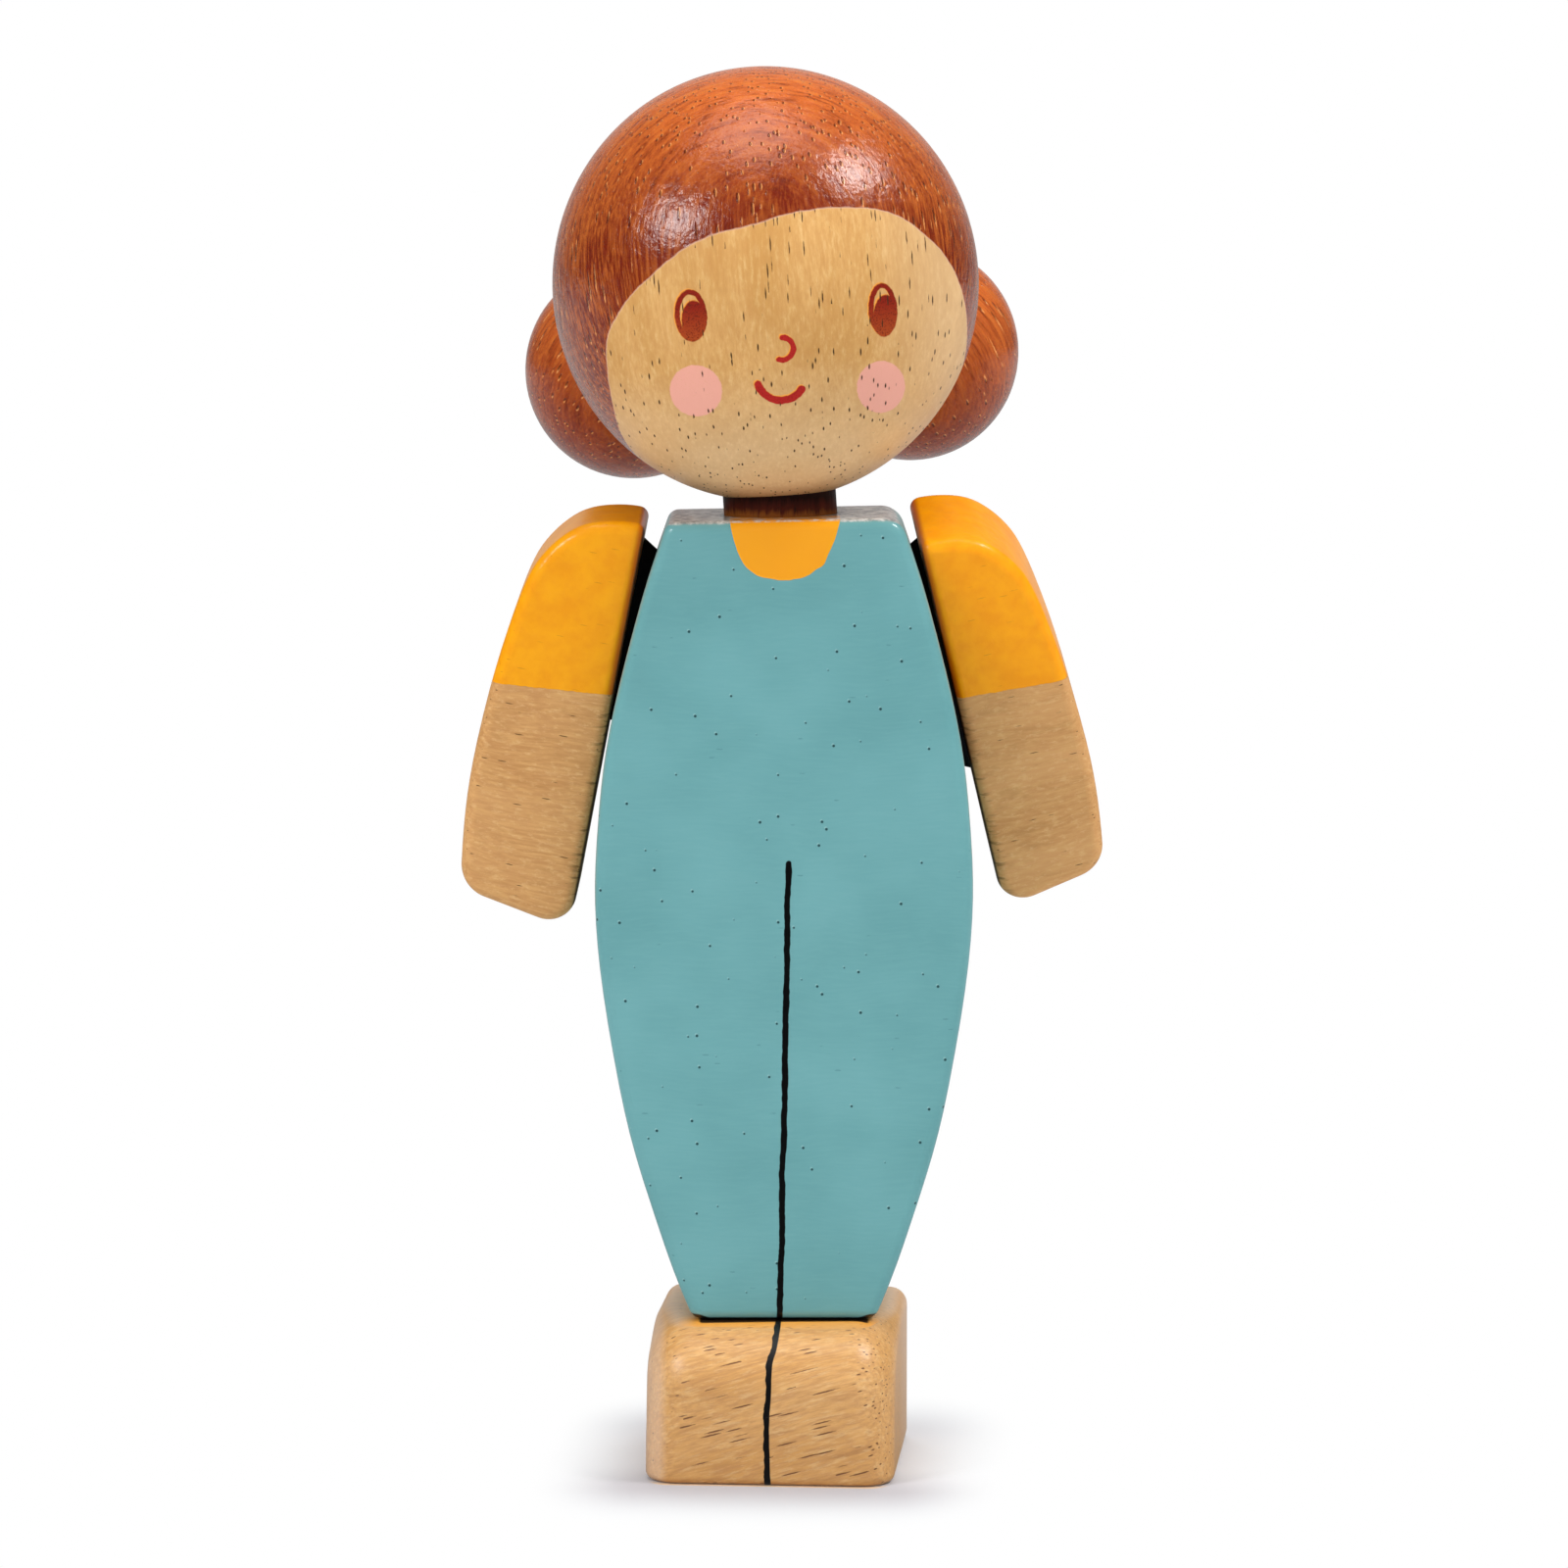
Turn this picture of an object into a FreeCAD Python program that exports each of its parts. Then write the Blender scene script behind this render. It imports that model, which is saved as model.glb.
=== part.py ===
import FreeCAD, Part
import math
import os

V = FreeCAD.Vector

# A small wooden doll that stands by itself: a flat body on a foot block,
# a ball head on a dowel, and two flat arms strung on one elastic cord.
# Millimetres. The doll looks along -Y, +X is the viewer's right, +Z is up.
# The ground is at zero, under the middle of the body.

# Foot block
foot_width = 17.6
foot_depth = 18.0
foot_height = 11.0
toe_radius = 3.6
foot_heel_radius = 1.0
foot_sole_radius = 0.6
foot_side_radius = 1.1
foot_turn = 4.5
foot_shift = 0.3

# Body, a flat plank with bowed sides
body_width = 26.54
body_height = 56.6
body_thickness = 14.0
body_top_skew = 0.3
body_edge_radius = 0.75
body_left_corner_radius = 0.9
body_right_corner_radius = 1.7
body_bottom_corner_radius = 1.1
body_side_shares = (
    (0.0, 0.482),
    (0.054, 0.577),
    (0.131, 0.689),
    (0.230, 0.815),
    (0.329, 0.902),
    (0.427, 0.967),
    (0.539, 1.0),
    (0.6235, 0.983),
    (0.697, 0.951),
    (0.769, 0.895),
    (0.855, 0.805),
    (0.928, 0.717),
    (0.979, 0.644),
    (1.0, 0.612),
)

# Neck dowel, which leans a little to the viewer's left
neck_width = 8.0
neck_lean = 3.75
neck_shift = 0.24
neck_reveal = 0.95
neck_depth_in_body = 4.0
neck_depth_in_head = 9.0

# Head, a turned ball a little taller than wide
head_width = 30.0
head_height = 30.5

# Hair buns, two balls low behind the head
bun_width = 15.9
bun_turn = 28.82
bun_fall = 16.54
bun_seat = 0.94

# Dowels that hold the buns and the foot block
dowel_width = 4.0
bun_dowel_length = 9.0
bun_dowel_depth = 4.7
foot_dowel_length = 11.0
foot_dowel_spread = 6.4
foot_dowel_depth = 5.5
dowel_chamfer = 0.3

# Arms, the same flat shape on both sides, sanded to slightly different widths
arm_depth = 9.0
arm_length = 29.6
arm_width_left = 8.95
arm_width_right = 8.45
arm_edge_radius = 0.85
arm_top_radius = 0.7
arm_hand_outer_radius = 2.5
arm_hand_inner_radius = 2.0
arm_pivot_drop = 4.45
arm_edge_shares = (
    (0.0, 1.0),
    (0.15, 1.0),
    (0.29, 0.993),
    (0.42, 0.981),
    (0.54, 0.961),
    (0.62, 0.939),
    (0.69, 0.914),
    (0.745, 0.889),
    (0.795, 0.860),
    (0.843, 0.816),
    (0.886, 0.752),
    (0.938, 0.644),
    (0.970, 0.549),
    (0.991, 0.448),
    (1.0, 0.353),
    (0.989, 0.245),
    (0.962, 0.157),
    (0.915, 0.052),
)

# Shoulders: where each arm's flat inner face turns, and how it is set
pivot_below_top = 4.55
shoulder_gap_left = 0.8
shoulder_gap_right = 0.38
splay_left = 10.8
splay_right = 13.3
swing_left = 5.0
swing_right = 20.0

# Elastic cord with a knot in each arm, the bushes and the rubber washers
cord_width = 1.6
knot_width = 3.0
knot_room = 0.3
knot_gap = 0.25
bush_length = 1.5
bush_inset = 0.1
washer_width = 5.8
washer_taper = 21.8
washer_sink = 1.5
washer_rim_radius = 0.15

# Fits
glue_gap = 0.05
end_gap = 0.2
running_gap = 0.05
cord_gap = 0.1
face_gap = 0.08

# Two points nearer than this are one point
same_point = 0.00001

AXIS_X = V(1, 0, 0)
AXIS_Y = V(0, 1, 0)
AXIS_Z = V(0, 0, 1)
ORIGIN = V(0, 0, 0)

foot_back = body_thickness / 2
body_base = foot_height
body_top = body_base + body_height
head_rise = neck_reveal + head_height / 2
head_middle = V(
    -neck_shift - head_rise * math.sin(math.radians(neck_lean)),
    0,
    body_top + head_rise * math.cos(math.radians(neck_lean)),
)


def solid_from_outline(edges, travel):
    """A closed flat outline pulled along a vector into one solid."""
    wire = Part.Wire(Part.__sortEdges__(edges))
    return Part.Face(wire).extrude(travel)


def edge_along(shape, direction, test):
    """The straight edges that run along a direction and pass a test."""
    found = []
    for edge in shape.Edges:
        first = edge.Vertexes[0].Point
        last = edge.Vertexes[-1].Point
        run = last - first
        if run.Length == 0:
            continue
        if abs(abs(run.normalize().dot(direction)) - 1) > 1e-6:
            continue
        if test(first):
            found.append(edge)
    return found


def edges_at_depth(shape, depth):
    """The edges that lie wholly in one plane across Y."""
    found = []
    for edge in shape.Edges:
        box = edge.BoundBox
        if abs(box.YMin - depth) < same_point and abs(box.YMax - depth) < same_point:
            found.append(edge)
    return found


def rod(start, direction, length, radius):
    return Part.makeCylinder(radius, length, start, direction)


def chamfered_rod(start, direction, length, radius, chamfer):
    """A dowel with both ends eased."""
    dowel = rod(start, direction, length, radius)
    rims = [edge for edge in dowel.Edges if edge.Closed]
    return dowel.makeChamfer(chamfer, rims)


# Body
def body_side_point(side, height_share, width_share):
    skew = body_top_skew / 2 * side * height_share
    return V(
        side * body_width / 2 * width_share,
        -body_thickness / 2,
        body_base + (body_height + skew) * height_share,
    )


def body_side_curve(side):
    points = [body_side_point(side, h, w) for h, w in body_side_shares]
    curve = Part.BSplineCurve()
    curve.interpolate(points)
    return curve.toShape(), points[0], points[-1]


def body_half_width(side, height):
    """How far the body's side lies from the middle at one height."""
    front = -body_thickness / 2
    level = Part.makeLine(V(0, front, height), V(side * body_width, front, height))
    crossing = level.distToShape(body_side_curve(side)[0])[1][0][0]
    return abs(crossing.x)


def make_body_blank():
    """The plank with its rounded corners and eased edges, before drilling."""
    left, left_low, left_high = body_side_curve(-1)
    right, right_low, right_high = body_side_curve(1)
    edges = [
        left,
        right,
        Part.makeLine(left_low, right_low),
        Part.makeLine(left_high, right_high),
    ]
    blank = solid_from_outline(edges, V(0, body_thickness, 0))
    middle = body_base + body_height / 2
    corners = (
        (lambda p: p.x < 0 and p.z > middle, body_left_corner_radius),
        (lambda p: p.x > 0 and p.z > middle, body_right_corner_radius),
        (lambda p: p.z < middle, body_bottom_corner_radius),
    )
    for test, radius in corners:
        blank = blank.makeFillet(radius, edge_along(blank, AXIS_Y, test))
    rims = edges_at_depth(blank, -body_thickness / 2)
    rims += edges_at_depth(blank, body_thickness / 2)
    return blank.makeFillet(body_edge_radius, rims)


def foot_dowel_spots():
    height = foot_height - foot_dowel_depth
    return [V(side * foot_dowel_spread / 2, 0, height) for side in (-1, 1)]


def foot_dowel_hole(spot):
    start = spot - AXIS_Z * end_gap
    length = foot_dowel_length + end_gap * 2
    return rod(start, AXIS_Z, length, dowel_width / 2 + glue_gap)


def make_foot_block():
    """The foot block, with a broad round toe, set a little askew on the body."""
    front = foot_back - foot_depth
    rear = foot_back
    shell = Part.makeBox(foot_width, foot_depth, foot_height, V(-foot_width / 2, front, 0))
    corners = (
        (front, foot_height, toe_radius),
        (rear, foot_height, foot_heel_radius),
        (front, 0, foot_sole_radius),
        (rear, 0, foot_sole_radius),
    )
    for y, z, radius in corners:
        chosen = edge_along(
            shell, AXIS_X, lambda p: abs(p.y - y) < same_point and abs(p.z - z) < same_point
        )
        shell = shell.makeFillet(radius, chosen)
    sides = [edge for edge in shell.Edges if edge.BoundBox.XLength < same_point]
    shell = shell.makeFillet(foot_side_radius, sides)
    shell.rotate(ORIGIN, AXIS_Z, -foot_turn)
    shell.translate(V(-foot_shift, 0, 0))
    for spot in foot_dowel_spots():
        shell = shell.cut(foot_dowel_hole(spot))
    return shell


# Head
def neck_direction():
    lean = math.radians(neck_lean)
    return V(-math.sin(lean), 0, math.cos(lean))


def neck_foot():
    """Where the neck's axis leaves the top of the body."""
    return V(-neck_shift, 0, body_top)


def neck_dowel_length():
    return neck_depth_in_body + neck_reveal + neck_depth_in_head


def make_neck_dowel():
    start = neck_foot() - neck_direction() * neck_depth_in_body
    return chamfered_rod(
        start, neck_direction(), neck_dowel_length(), neck_width / 2, dowel_chamfer
    )


def neck_hole():
    start = neck_foot() - neck_direction() * (neck_depth_in_body + end_gap)
    length = neck_dowel_length() + end_gap * 2
    return rod(start, neck_direction(), length, neck_width / 2 + glue_gap)


def lean_with_head(shape):
    shape.rotate(head_middle, AXIS_Y, -neck_lean)
    return shape


def half_oval(middle, half_width, half_height):
    """The half of an upright oval on one side of its height."""
    high = middle + AXIS_Z * half_height
    side = middle - AXIS_X * half_width
    if half_height > half_width:
        oval = Part.Ellipse(high, side, middle)
        return Part.ArcOfEllipse(oval, 0, math.pi).toBSpline()
    oval = Part.Ellipse(side, high, middle)
    return Part.ArcOfEllipse(oval, math.pi / 2, math.pi * 3 / 2).toBSpline()


def make_head_blank(growth):
    """The bare ball, grown all round: half an oval turned about its axis."""
    half = half_oval(head_middle, head_width / 2 + growth, head_height / 2 + growth)
    line = Part.makeLine(half.StartPoint, half.EndPoint)
    wire = Part.Wire([half.toShape(), line])
    ball = Part.Face(wire).revolve(head_middle, AXIS_Z, 360)
    if ball.Volume < 0:
        ball.reverse()
    return lean_with_head(ball)


def head_reach():
    """From the head's middle to its surface, towards a bun."""
    across = math.cos(math.radians(bun_fall)) / (head_width / 2)
    upright = math.sin(math.radians(bun_fall)) / (head_height / 2)
    return 1 / math.hypot(across, upright)


def bun_direction(side):
    turn = math.radians(bun_turn)
    fall = math.radians(bun_fall)
    level = V(side * math.sin(turn), math.cos(turn), 0) * math.cos(fall)
    tip = Part.Vertex(head_middle + level - AXIS_Z * math.sin(fall))
    return lean_with_head(tip).Point - head_middle


def bun_middle(side):
    distance = head_reach() + bun_width / 2 - bun_seat
    return head_middle + bun_direction(side) * distance


def bun_dowel_start_point(side):
    return head_middle + bun_direction(side) * (head_reach() - bun_dowel_depth)


def make_bun_dowel(side):
    return chamfered_rod(
        bun_dowel_start_point(side),
        bun_direction(side),
        bun_dowel_length,
        dowel_width / 2,
        dowel_chamfer,
    )


def bun_dowel_hole(side):
    start = bun_dowel_start_point(side) - bun_direction(side) * end_gap
    length = bun_dowel_length + end_gap * 2
    return rod(start, bun_direction(side), length, dowel_width / 2 + glue_gap)


def make_head_ball():
    head = make_head_blank(0).cut(neck_hole())
    for side in (-1, 1):
        head = head.cut(bun_dowel_hole(side))
    return head


def make_bun(side):
    """A ball hollowed where it is glued to the head."""
    ball = Part.makeSphere(bun_width / 2, bun_middle(side))
    return ball.cut(make_head_blank(glue_gap)).cut(bun_dowel_hole(side))


# Shoulders
def of_side(side, left, right):
    return left if side < 0 else right


def shoulder_gap(side):
    return of_side(side, shoulder_gap_left, shoulder_gap_right)


def shoulder_splay(side):
    return of_side(side, splay_left, splay_right)


def shoulder_pivot(side):
    """On the turning axis, at the arm's inner face."""
    height = body_top - pivot_below_top
    reach = body_half_width(side, height) + shoulder_gap(side)
    return V(side * reach, 0, height)


def shoulder_axis(side):
    """The turning axis, which leaves the body sideways and a little upwards."""
    splay = math.radians(shoulder_splay(side))
    return V(side * math.cos(splay), 0, math.sin(splay))


def set_at_shoulder(shape, side):
    """Splay a piece about Y, then carry it to the pivot."""
    shape.rotate(ORIGIN, AXIS_Y, -side * shoulder_splay(side))
    shape.translate(shoulder_pivot(side))
    return shape


def set_with_arm(shape, side):
    """Swing a piece backwards about X, then set it at the shoulder."""
    shape.rotate(ORIGIN, AXIS_X, of_side(side, swing_left, swing_right))
    return set_at_shoulder(shape, side)


def make_arm_blank(side):
    """The flat arm with its pivot at zero and its inner face on X zero."""
    width = of_side(side, arm_width_left, arm_width_right)
    low = arm_pivot_drop - arm_length
    front = -arm_depth / 2
    outer = [
        V(side * width * w, front, low + arm_length * h) for w, h in arm_edge_shares
    ]
    curve = Part.BSplineCurve()
    curve.interpolate(outer)
    inner_low = V(0, front, low)
    inner_high = outer[0]
    edges = [
        curve.toShape(),
        Part.makeLine(inner_high, inner_low),
        Part.makeLine(inner_low, outer[-1]),
    ]
    arm = solid_from_outline(edges, V(0, arm_depth, 0))
    corners = (
        (inner_high, arm_top_radius),
        (inner_low, arm_hand_inner_radius),
        (outer[-1], arm_hand_outer_radius),
    )
    for corner, radius in corners:
        chosen = edge_along(
            arm, AXIS_Y, lambda p: (V(p.x, front, p.z) - corner).Length < same_point
        )
        arm = arm.makeFillet(radius, chosen)
    rims = edges_at_depth(arm, -arm_depth / 2)
    rims += edges_at_depth(arm, arm_depth / 2)
    return arm.makeFillet(arm_edge_radius, rims)


def outward(side):
    return V(side, 0, 0)


def knot_distance():
    """From the arm's inner face to the middle of the knot."""
    return bush_inset + bush_length + knot_gap + knot_width / 2


def knot_bore(side):
    depth = knot_distance() + knot_width / 2 + knot_gap
    return rod(ORIGIN, outward(side), depth, knot_width / 2 + knot_room)


def make_arm(side):
    return set_with_arm(make_arm_blank(side).cut(knot_bore(side)), side)


def make_bush(side):
    """A ring glued in the arm's bore, which keeps the knot in."""
    start = outward(side) * bush_inset
    radius = knot_width / 2 + knot_room - glue_gap
    ring = rod(start, outward(side), bush_length, radius)
    hole = rod(start, outward(side), bush_length, cord_width / 2 + running_gap)
    return set_with_arm(ring.cut(hole), side)


def make_washer(side, body_blank):
    """A rubber washer, wider at the arm, seated on the body's sloping side."""
    start = outward(-side) * face_gap
    length = shoulder_gap(side) + washer_sink
    far_radius = washer_width / 2 - length * math.tan(math.radians(washer_taper))
    cone = Part.makeCone(washer_width / 2, far_radius, length, start, outward(-side))
    rims = [edge for edge in cone.Edges if edge.Closed]
    wide_rim = max(rims, key=lambda edge: edge.Length)
    cone = cone.makeFillet(washer_rim_radius, [wide_rim])
    hole = rod(start, outward(-side), length, cord_width / 2 + cord_gap)
    return set_at_shoulder(cone.cut(hole), side).cut(body_blank)


def cord_bend():
    """Where the two shoulder axes meet inside the body."""
    left = shoulder_pivot(-1)
    right = shoulder_pivot(1)
    left_slope = math.tan(math.radians(splay_left))
    right_slope = math.tan(math.radians(splay_right))
    share = right_slope / (left_slope + right_slope)
    x = left.x + (right.x - left.x) * share
    return V(x, 0, left.z - (x - left.x) * left_slope)


def bent_rod(radius, ends):
    """A round rod that runs from end to end through the cord's bend."""
    bend = cord_bend()
    shape = Part.makeSphere(radius, bend)
    for end in ends:
        run = end - bend
        shape = shape.fuse(rod(bend, run, run.Length, radius))
    return shape


def make_cord():
    ends = []
    for side in (-1, 1):
        ends.append(shoulder_pivot(side) + shoulder_axis(side) * knot_distance())
    cord = bent_rod(cord_width / 2, ends)
    for end in ends:
        cord = cord.fuse(Part.makeSphere(knot_width / 2, end))
    return cord.removeSplitter()


def cord_bore():
    ends = [shoulder_pivot(side) for side in (-1, 1)]
    return bent_rod(cord_width / 2 + cord_gap, ends)


def make_body(blank):
    body = blank.cut(cord_bore()).cut(neck_hole())
    for spot in foot_dowel_spots():
        body = body.cut(foot_dowel_hole(spot))
    return body


def as_one_solid(shape):
    """The largest solid of a cut, without its wrapping compound."""
    solids = sorted(shape.Solids, key=lambda solid: solid.Volume)
    return solids[-1]


def main():
    os.makedirs("parts", exist_ok=True)
    body_blank = make_body_blank()
    pieces = {
        "body_plank": make_body(body_blank),
        "foot_block": make_foot_block(),
        "neck_dowel": make_neck_dowel(),
        "head_ball": make_head_ball(),
        "shoulder_cord": make_cord(),
    }
    for side, word in ((-1, "left"), (1, "right")):
        spot = foot_dowel_spots()[0 if side < 0 else 1]
        pieces["foot_dowel_" + word] = chamfered_rod(
            spot, AXIS_Z, foot_dowel_length, dowel_width / 2, dowel_chamfer
        )
        pieces["hair_bun_" + word] = make_bun(side)
        pieces["bun_dowel_" + word] = make_bun_dowel(side)
        pieces["arm_" + word] = make_arm(side)
        pieces["shoulder_bush_" + word] = make_bush(side)
        pieces["shoulder_washer_" + word] = make_washer(side, body_blank)
    for name, shape in pieces.items():
        solid = as_one_solid(shape)
        solid.exportStep("parts/" + name + ".step")
        print(name, len(shape.Solids), round(solid.Volume, 2), solid.isValid())
    for side, word in ((-1, "left"), (1, "right")):
        print("shoulder", word, shoulder_pivot(side), shoulder_axis(side))


main()
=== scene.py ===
import itertools
import math

import bmesh
import bpy
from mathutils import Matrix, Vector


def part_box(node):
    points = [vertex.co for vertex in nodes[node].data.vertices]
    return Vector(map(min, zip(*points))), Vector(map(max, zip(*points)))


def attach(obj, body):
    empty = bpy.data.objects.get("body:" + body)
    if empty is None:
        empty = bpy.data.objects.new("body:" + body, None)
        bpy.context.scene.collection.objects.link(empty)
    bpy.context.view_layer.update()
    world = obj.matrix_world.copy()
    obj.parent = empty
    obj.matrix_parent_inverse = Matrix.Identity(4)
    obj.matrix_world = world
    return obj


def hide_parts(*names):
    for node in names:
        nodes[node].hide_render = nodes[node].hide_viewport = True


# A painted wooden doll on a foot block, in metres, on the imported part's frame.
# The doll looks along -Y. Every wood and paint pattern is laid out in millimetres.

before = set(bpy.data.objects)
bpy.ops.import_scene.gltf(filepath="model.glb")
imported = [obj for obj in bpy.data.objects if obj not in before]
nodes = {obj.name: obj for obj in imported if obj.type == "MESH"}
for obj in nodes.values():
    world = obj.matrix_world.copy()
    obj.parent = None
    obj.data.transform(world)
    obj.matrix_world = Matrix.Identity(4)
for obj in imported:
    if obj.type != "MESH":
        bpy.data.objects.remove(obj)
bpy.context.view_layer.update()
print("loaded", len(nodes), "nodes")

mm = 0.001
maths = "ShaderNodeMath"
vectors = "ShaderNodeVectorMath"
split = "ShaderNodeSeparateXYZ"
join = "ShaderNodeCombineXYZ"
mixing = "ShaderNodeMix"  # inputs 0 factor, 2 and 3 numbers, 6 and 7 colours
blend = {"out": 2, "data_type": "RGBA"}  # for a mix of colours
mapping = "ShaderNodeMapping"
ranging = "ShaderNodeMapRange"  # value, from, to, result at each: every range below has this order
bumping = "ShaderNodeBump"
noise = "ShaderNodeTexNoise"
cells = "ShaderNodeTexVoronoi"
curve = "ShaderNodeFloatCurve"
grouped = "ShaderNodeGroup"
every = slice(None)  # all the outputs of a node


def linear(code):
    parts = [int(code[i:i + 2], 16) / 255 for i in (1, 3, 5)]
    return (*[c / 12.92 if c <= 0.04045 else ((c + 0.055) / 1.055) ** 2.4 for c in parts], 1)


def wire(node, values):
    # a socket is linked to the input, any other value is set on it
    for key, value in values.items() if isinstance(values, dict) else enumerate(values):
        if isinstance(value, bpy.types.NodeSocket):
            node.id_data.links.new(value, node.inputs[key])
        elif value is not None:
            node.inputs[key].default_value = value


def add(tree, kind, values=(), out=0, **settings):
    node = tree.nodes.new(kind)
    for key, value in settings.items():
        setattr(node, key, value)
    wire(node, values)
    return node.outputs[out]


def newGroup(name, inputs, outputs, kind="ShaderNodeTree"):
    tree = bpy.data.node_groups.new(name, kind)
    for sockets, way in ((inputs, "INPUT"), (outputs, "OUTPUT")):
        for label, sort in sockets.items():
            tree.interface.new_socket(label, in_out=way, socket_type="NodeSocket" + sort)
    return tree, tree.nodes.new("NodeGroupInput").outputs, tree.nodes.new("NodeGroupOutput")


def newObject(name, data):
    thing = bpy.data.objects.new(name, data)
    bpy.context.scene.collection.objects.link(thing)
    return thing


def newMaterial(name, middle=(0, 0, 0), turn=(0, 0, 0), unit=mm):
    # also gives the place on the piece, in units from the middle of the pattern
    material = bpy.data.materials.new(name)
    material.use_nodes = True
    tree = material.node_tree
    place = add(tree, "ShaderNodeTexCoord", out=3)
    place = add(tree, mapping, vector_type="TEXTURE", values={
        "Vector": place, "Location": middle, "Rotation": turn, "Scale": (unit, unit, unit),
    })
    return material, tree, tree.nodes["Principled BSDF"], place


def layPoints(layout, places):
    # a smooth line through (0..1, 0..1) places
    points = layout.curves[0].points
    points[0].location = places[0]
    points[-1].location = places[-1]
    for x, y in places[1:-1]:
        points.new(x, y)
    layout.update()


def tint(tree, colour, layers, patterns):
    # lays each colour on where all its patterns are
    # a layer may also spread its first pattern from bare to full, and up to a share
    for code, names, *spread in layers:
        mask, *others = [patterns[name] for name in names.split()]
        if spread:
            mask = add(tree, ranging, [mask, *spread[:2], 0, *spread[2:]])
        for other in others:
            mask = add(tree, maths, [mask, other], operation="MULTIPLY")
        colour = add(tree, mixing, {0: mask, 6: colour, 7: linear(code)}, **blend)
    return colour


def streaks(tree, place, stretch, detail, roughness=0.5):
    # noise whose size along each axis is one over the stretch, in mm
    place = add(tree, vectors, [place, stretch], operation="MULTIPLY")
    return add(tree, noise, {"Vector": place, "Scale": 1, "Detail": detail, "Roughness": roughness})


def unsteady(tree, place, scale, detail):
    # noise about zero, for the edge of a brush stroke
    wobble = add(tree, noise, {"Vector": place, "Scale": scale, "Detail": detail})
    return add(tree, maths, [wobble, -0.5], operation="ADD")


def ovalMask(tree, offset, half, bare, full, share=1):
    reach = add(tree, vectors, [offset, half], operation="DIVIDE")
    reach = add(tree, vectors, [reach], out=1, operation="LENGTH")
    return add(tree, ranging, [reach, bare, full, 0, share])


def beyondBox(tree, place, half):
    # how far a place lies outside a box round the origin, on each axis
    beyond = add(tree, vectors, [place], operation="ABSOLUTE")
    beyond = add(tree, vectors, [beyond, half], operation="SUBTRACT")
    return add(tree, vectors, [beyond, (0, 0, 0)], operation="MAXIMUM")


# Wood figure, in mm with the grain along Z and the growth layers stacked along Y
figure = {
    "bend": 1.6, "bendScale": 0.12,
    "tone": (0.28, 1.1, 0.035), "fibre": (4.5, 6, 0.4),
    "ragged": (0.16, 0.16, 0.1), "raggedScale": 4, "softEdge": 0.6,
    "crowdScale": 0.22, "crowd": (0.3, 0.7, 0.6, 1.4),
}
woodFigure, given, result = newGroup(
    "wood figure",
    {
        "Position": "Vector", "Pore spacing": "Float", "Pore length": "Float",
        "Pore size": "Float", "Pore share": "Float",
    },
    {"Tone": "Float", "Fibre": "Float", "Pores": "Float"},
)
tree = woodFigure
position = given["Position"]
bent = add(tree, noise, {"Vector": position, "Scale": figure["bendScale"], "Detail": 1}, out=1)
bent = add(tree, vectors, [bent, (0.5, 0.5, 0.5)], operation="SUBTRACT")
bent = add(tree, vectors, [bent, [figure["bend"]] * 3, position], operation="MULTIPLY_ADD")
tone = streaks(tree, bent, figure["tone"], 4, 0.6)
fibre = streaks(tree, bent, figure["fibre"], 3, 0.65)
narrow = add(tree, maths, [1, given["Pore spacing"]], operation="DIVIDE")
tall = add(tree, maths, [1, given["Pore length"]], operation="DIVIDE")
cell = add(tree, join, [narrow, narrow, tall])
cell = add(tree, vectors, [position, cell], operation="MULTIPLY")
ragged = add(tree, noise, {"Vector": position, "Scale": figure["raggedScale"], "Detail": 1}, out=1)
cell = add(tree, vectors, [ragged, figure["ragged"], cell], operation="MULTIPLY_ADD")
cell = add(tree, cells, {"Vector": cell, "Scale": 1}).node
thin = add(tree, maths, [given["Pore size"], figure["softEdge"]], operation="MULTIPLY")
inside = add(tree, ranging, [cell.outputs["Distance"], given["Pore size"], thin])
chosen = add(tree, "ShaderNodeSeparateColor", [cell.outputs["Color"]])
crowd = add(tree, noise, {"Vector": position, "Scale": figure["crowdScale"], "Detail": 1})
crowd = add(tree, ranging, [crowd, *figure["crowd"]])
crowd = add(tree, maths, [crowd, given["Pore share"]], operation="MULTIPLY")
chosen = add(tree, maths, [chosen, crowd], operation="LESS_THAN")
pores = add(tree, maths, [inside, chosen], operation="MULTIPLY")
wire(result, {"Tone": tone, "Fibre": fibre, "Pores": pores})

# A painted arc with round ends, looked at along Y: distances in mm, angles in radians
paintedArc, given, result = newGroup(
    "painted arc",
    {"Offset": "Vector", "Radius": "Float", "Middle": "Float", "Half": "Float", "Width": "Float"},
    {"Mask": "Float"},
)
tree = paintedArc
x, y, z = add(tree, split, [given["Offset"]], every)
angle = add(tree, maths, [z, x], operation="ARCTAN2")
angle = add(tree, maths, [angle, given["Middle"]], operation="SUBTRACT")
angle = add(tree, maths, [angle, math.pi, -math.pi], operation="WRAP")
angle = add(tree, maths, [angle, given["Half"]], operation="MINIMUM")
low = add(tree, maths, [given["Half"], -1], operation="MULTIPLY")
angle = add(tree, maths, [angle, low], operation="MAXIMUM")
angle = add(tree, maths, [angle, given["Middle"]], operation="ADD")
across = add(tree, maths, [angle], operation="COSINE")
upright = add(tree, maths, [angle], operation="SINE")
nearest = add(tree, join, [across, 0, upright])
nearest = add(tree, vectors, {0: nearest, "Scale": given["Radius"]}, operation="SCALE")
flat = add(tree, vectors, [given["Offset"], (1, 0, 1)], operation="MULTIPLY")
gap = add(tree, vectors, [flat, nearest], out=1, operation="DISTANCE")
half = add(tree, maths, [given["Width"], 0.5], operation="MULTIPLY")
gap = add(tree, maths, [gap, half], operation="SUBTRACT")
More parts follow.
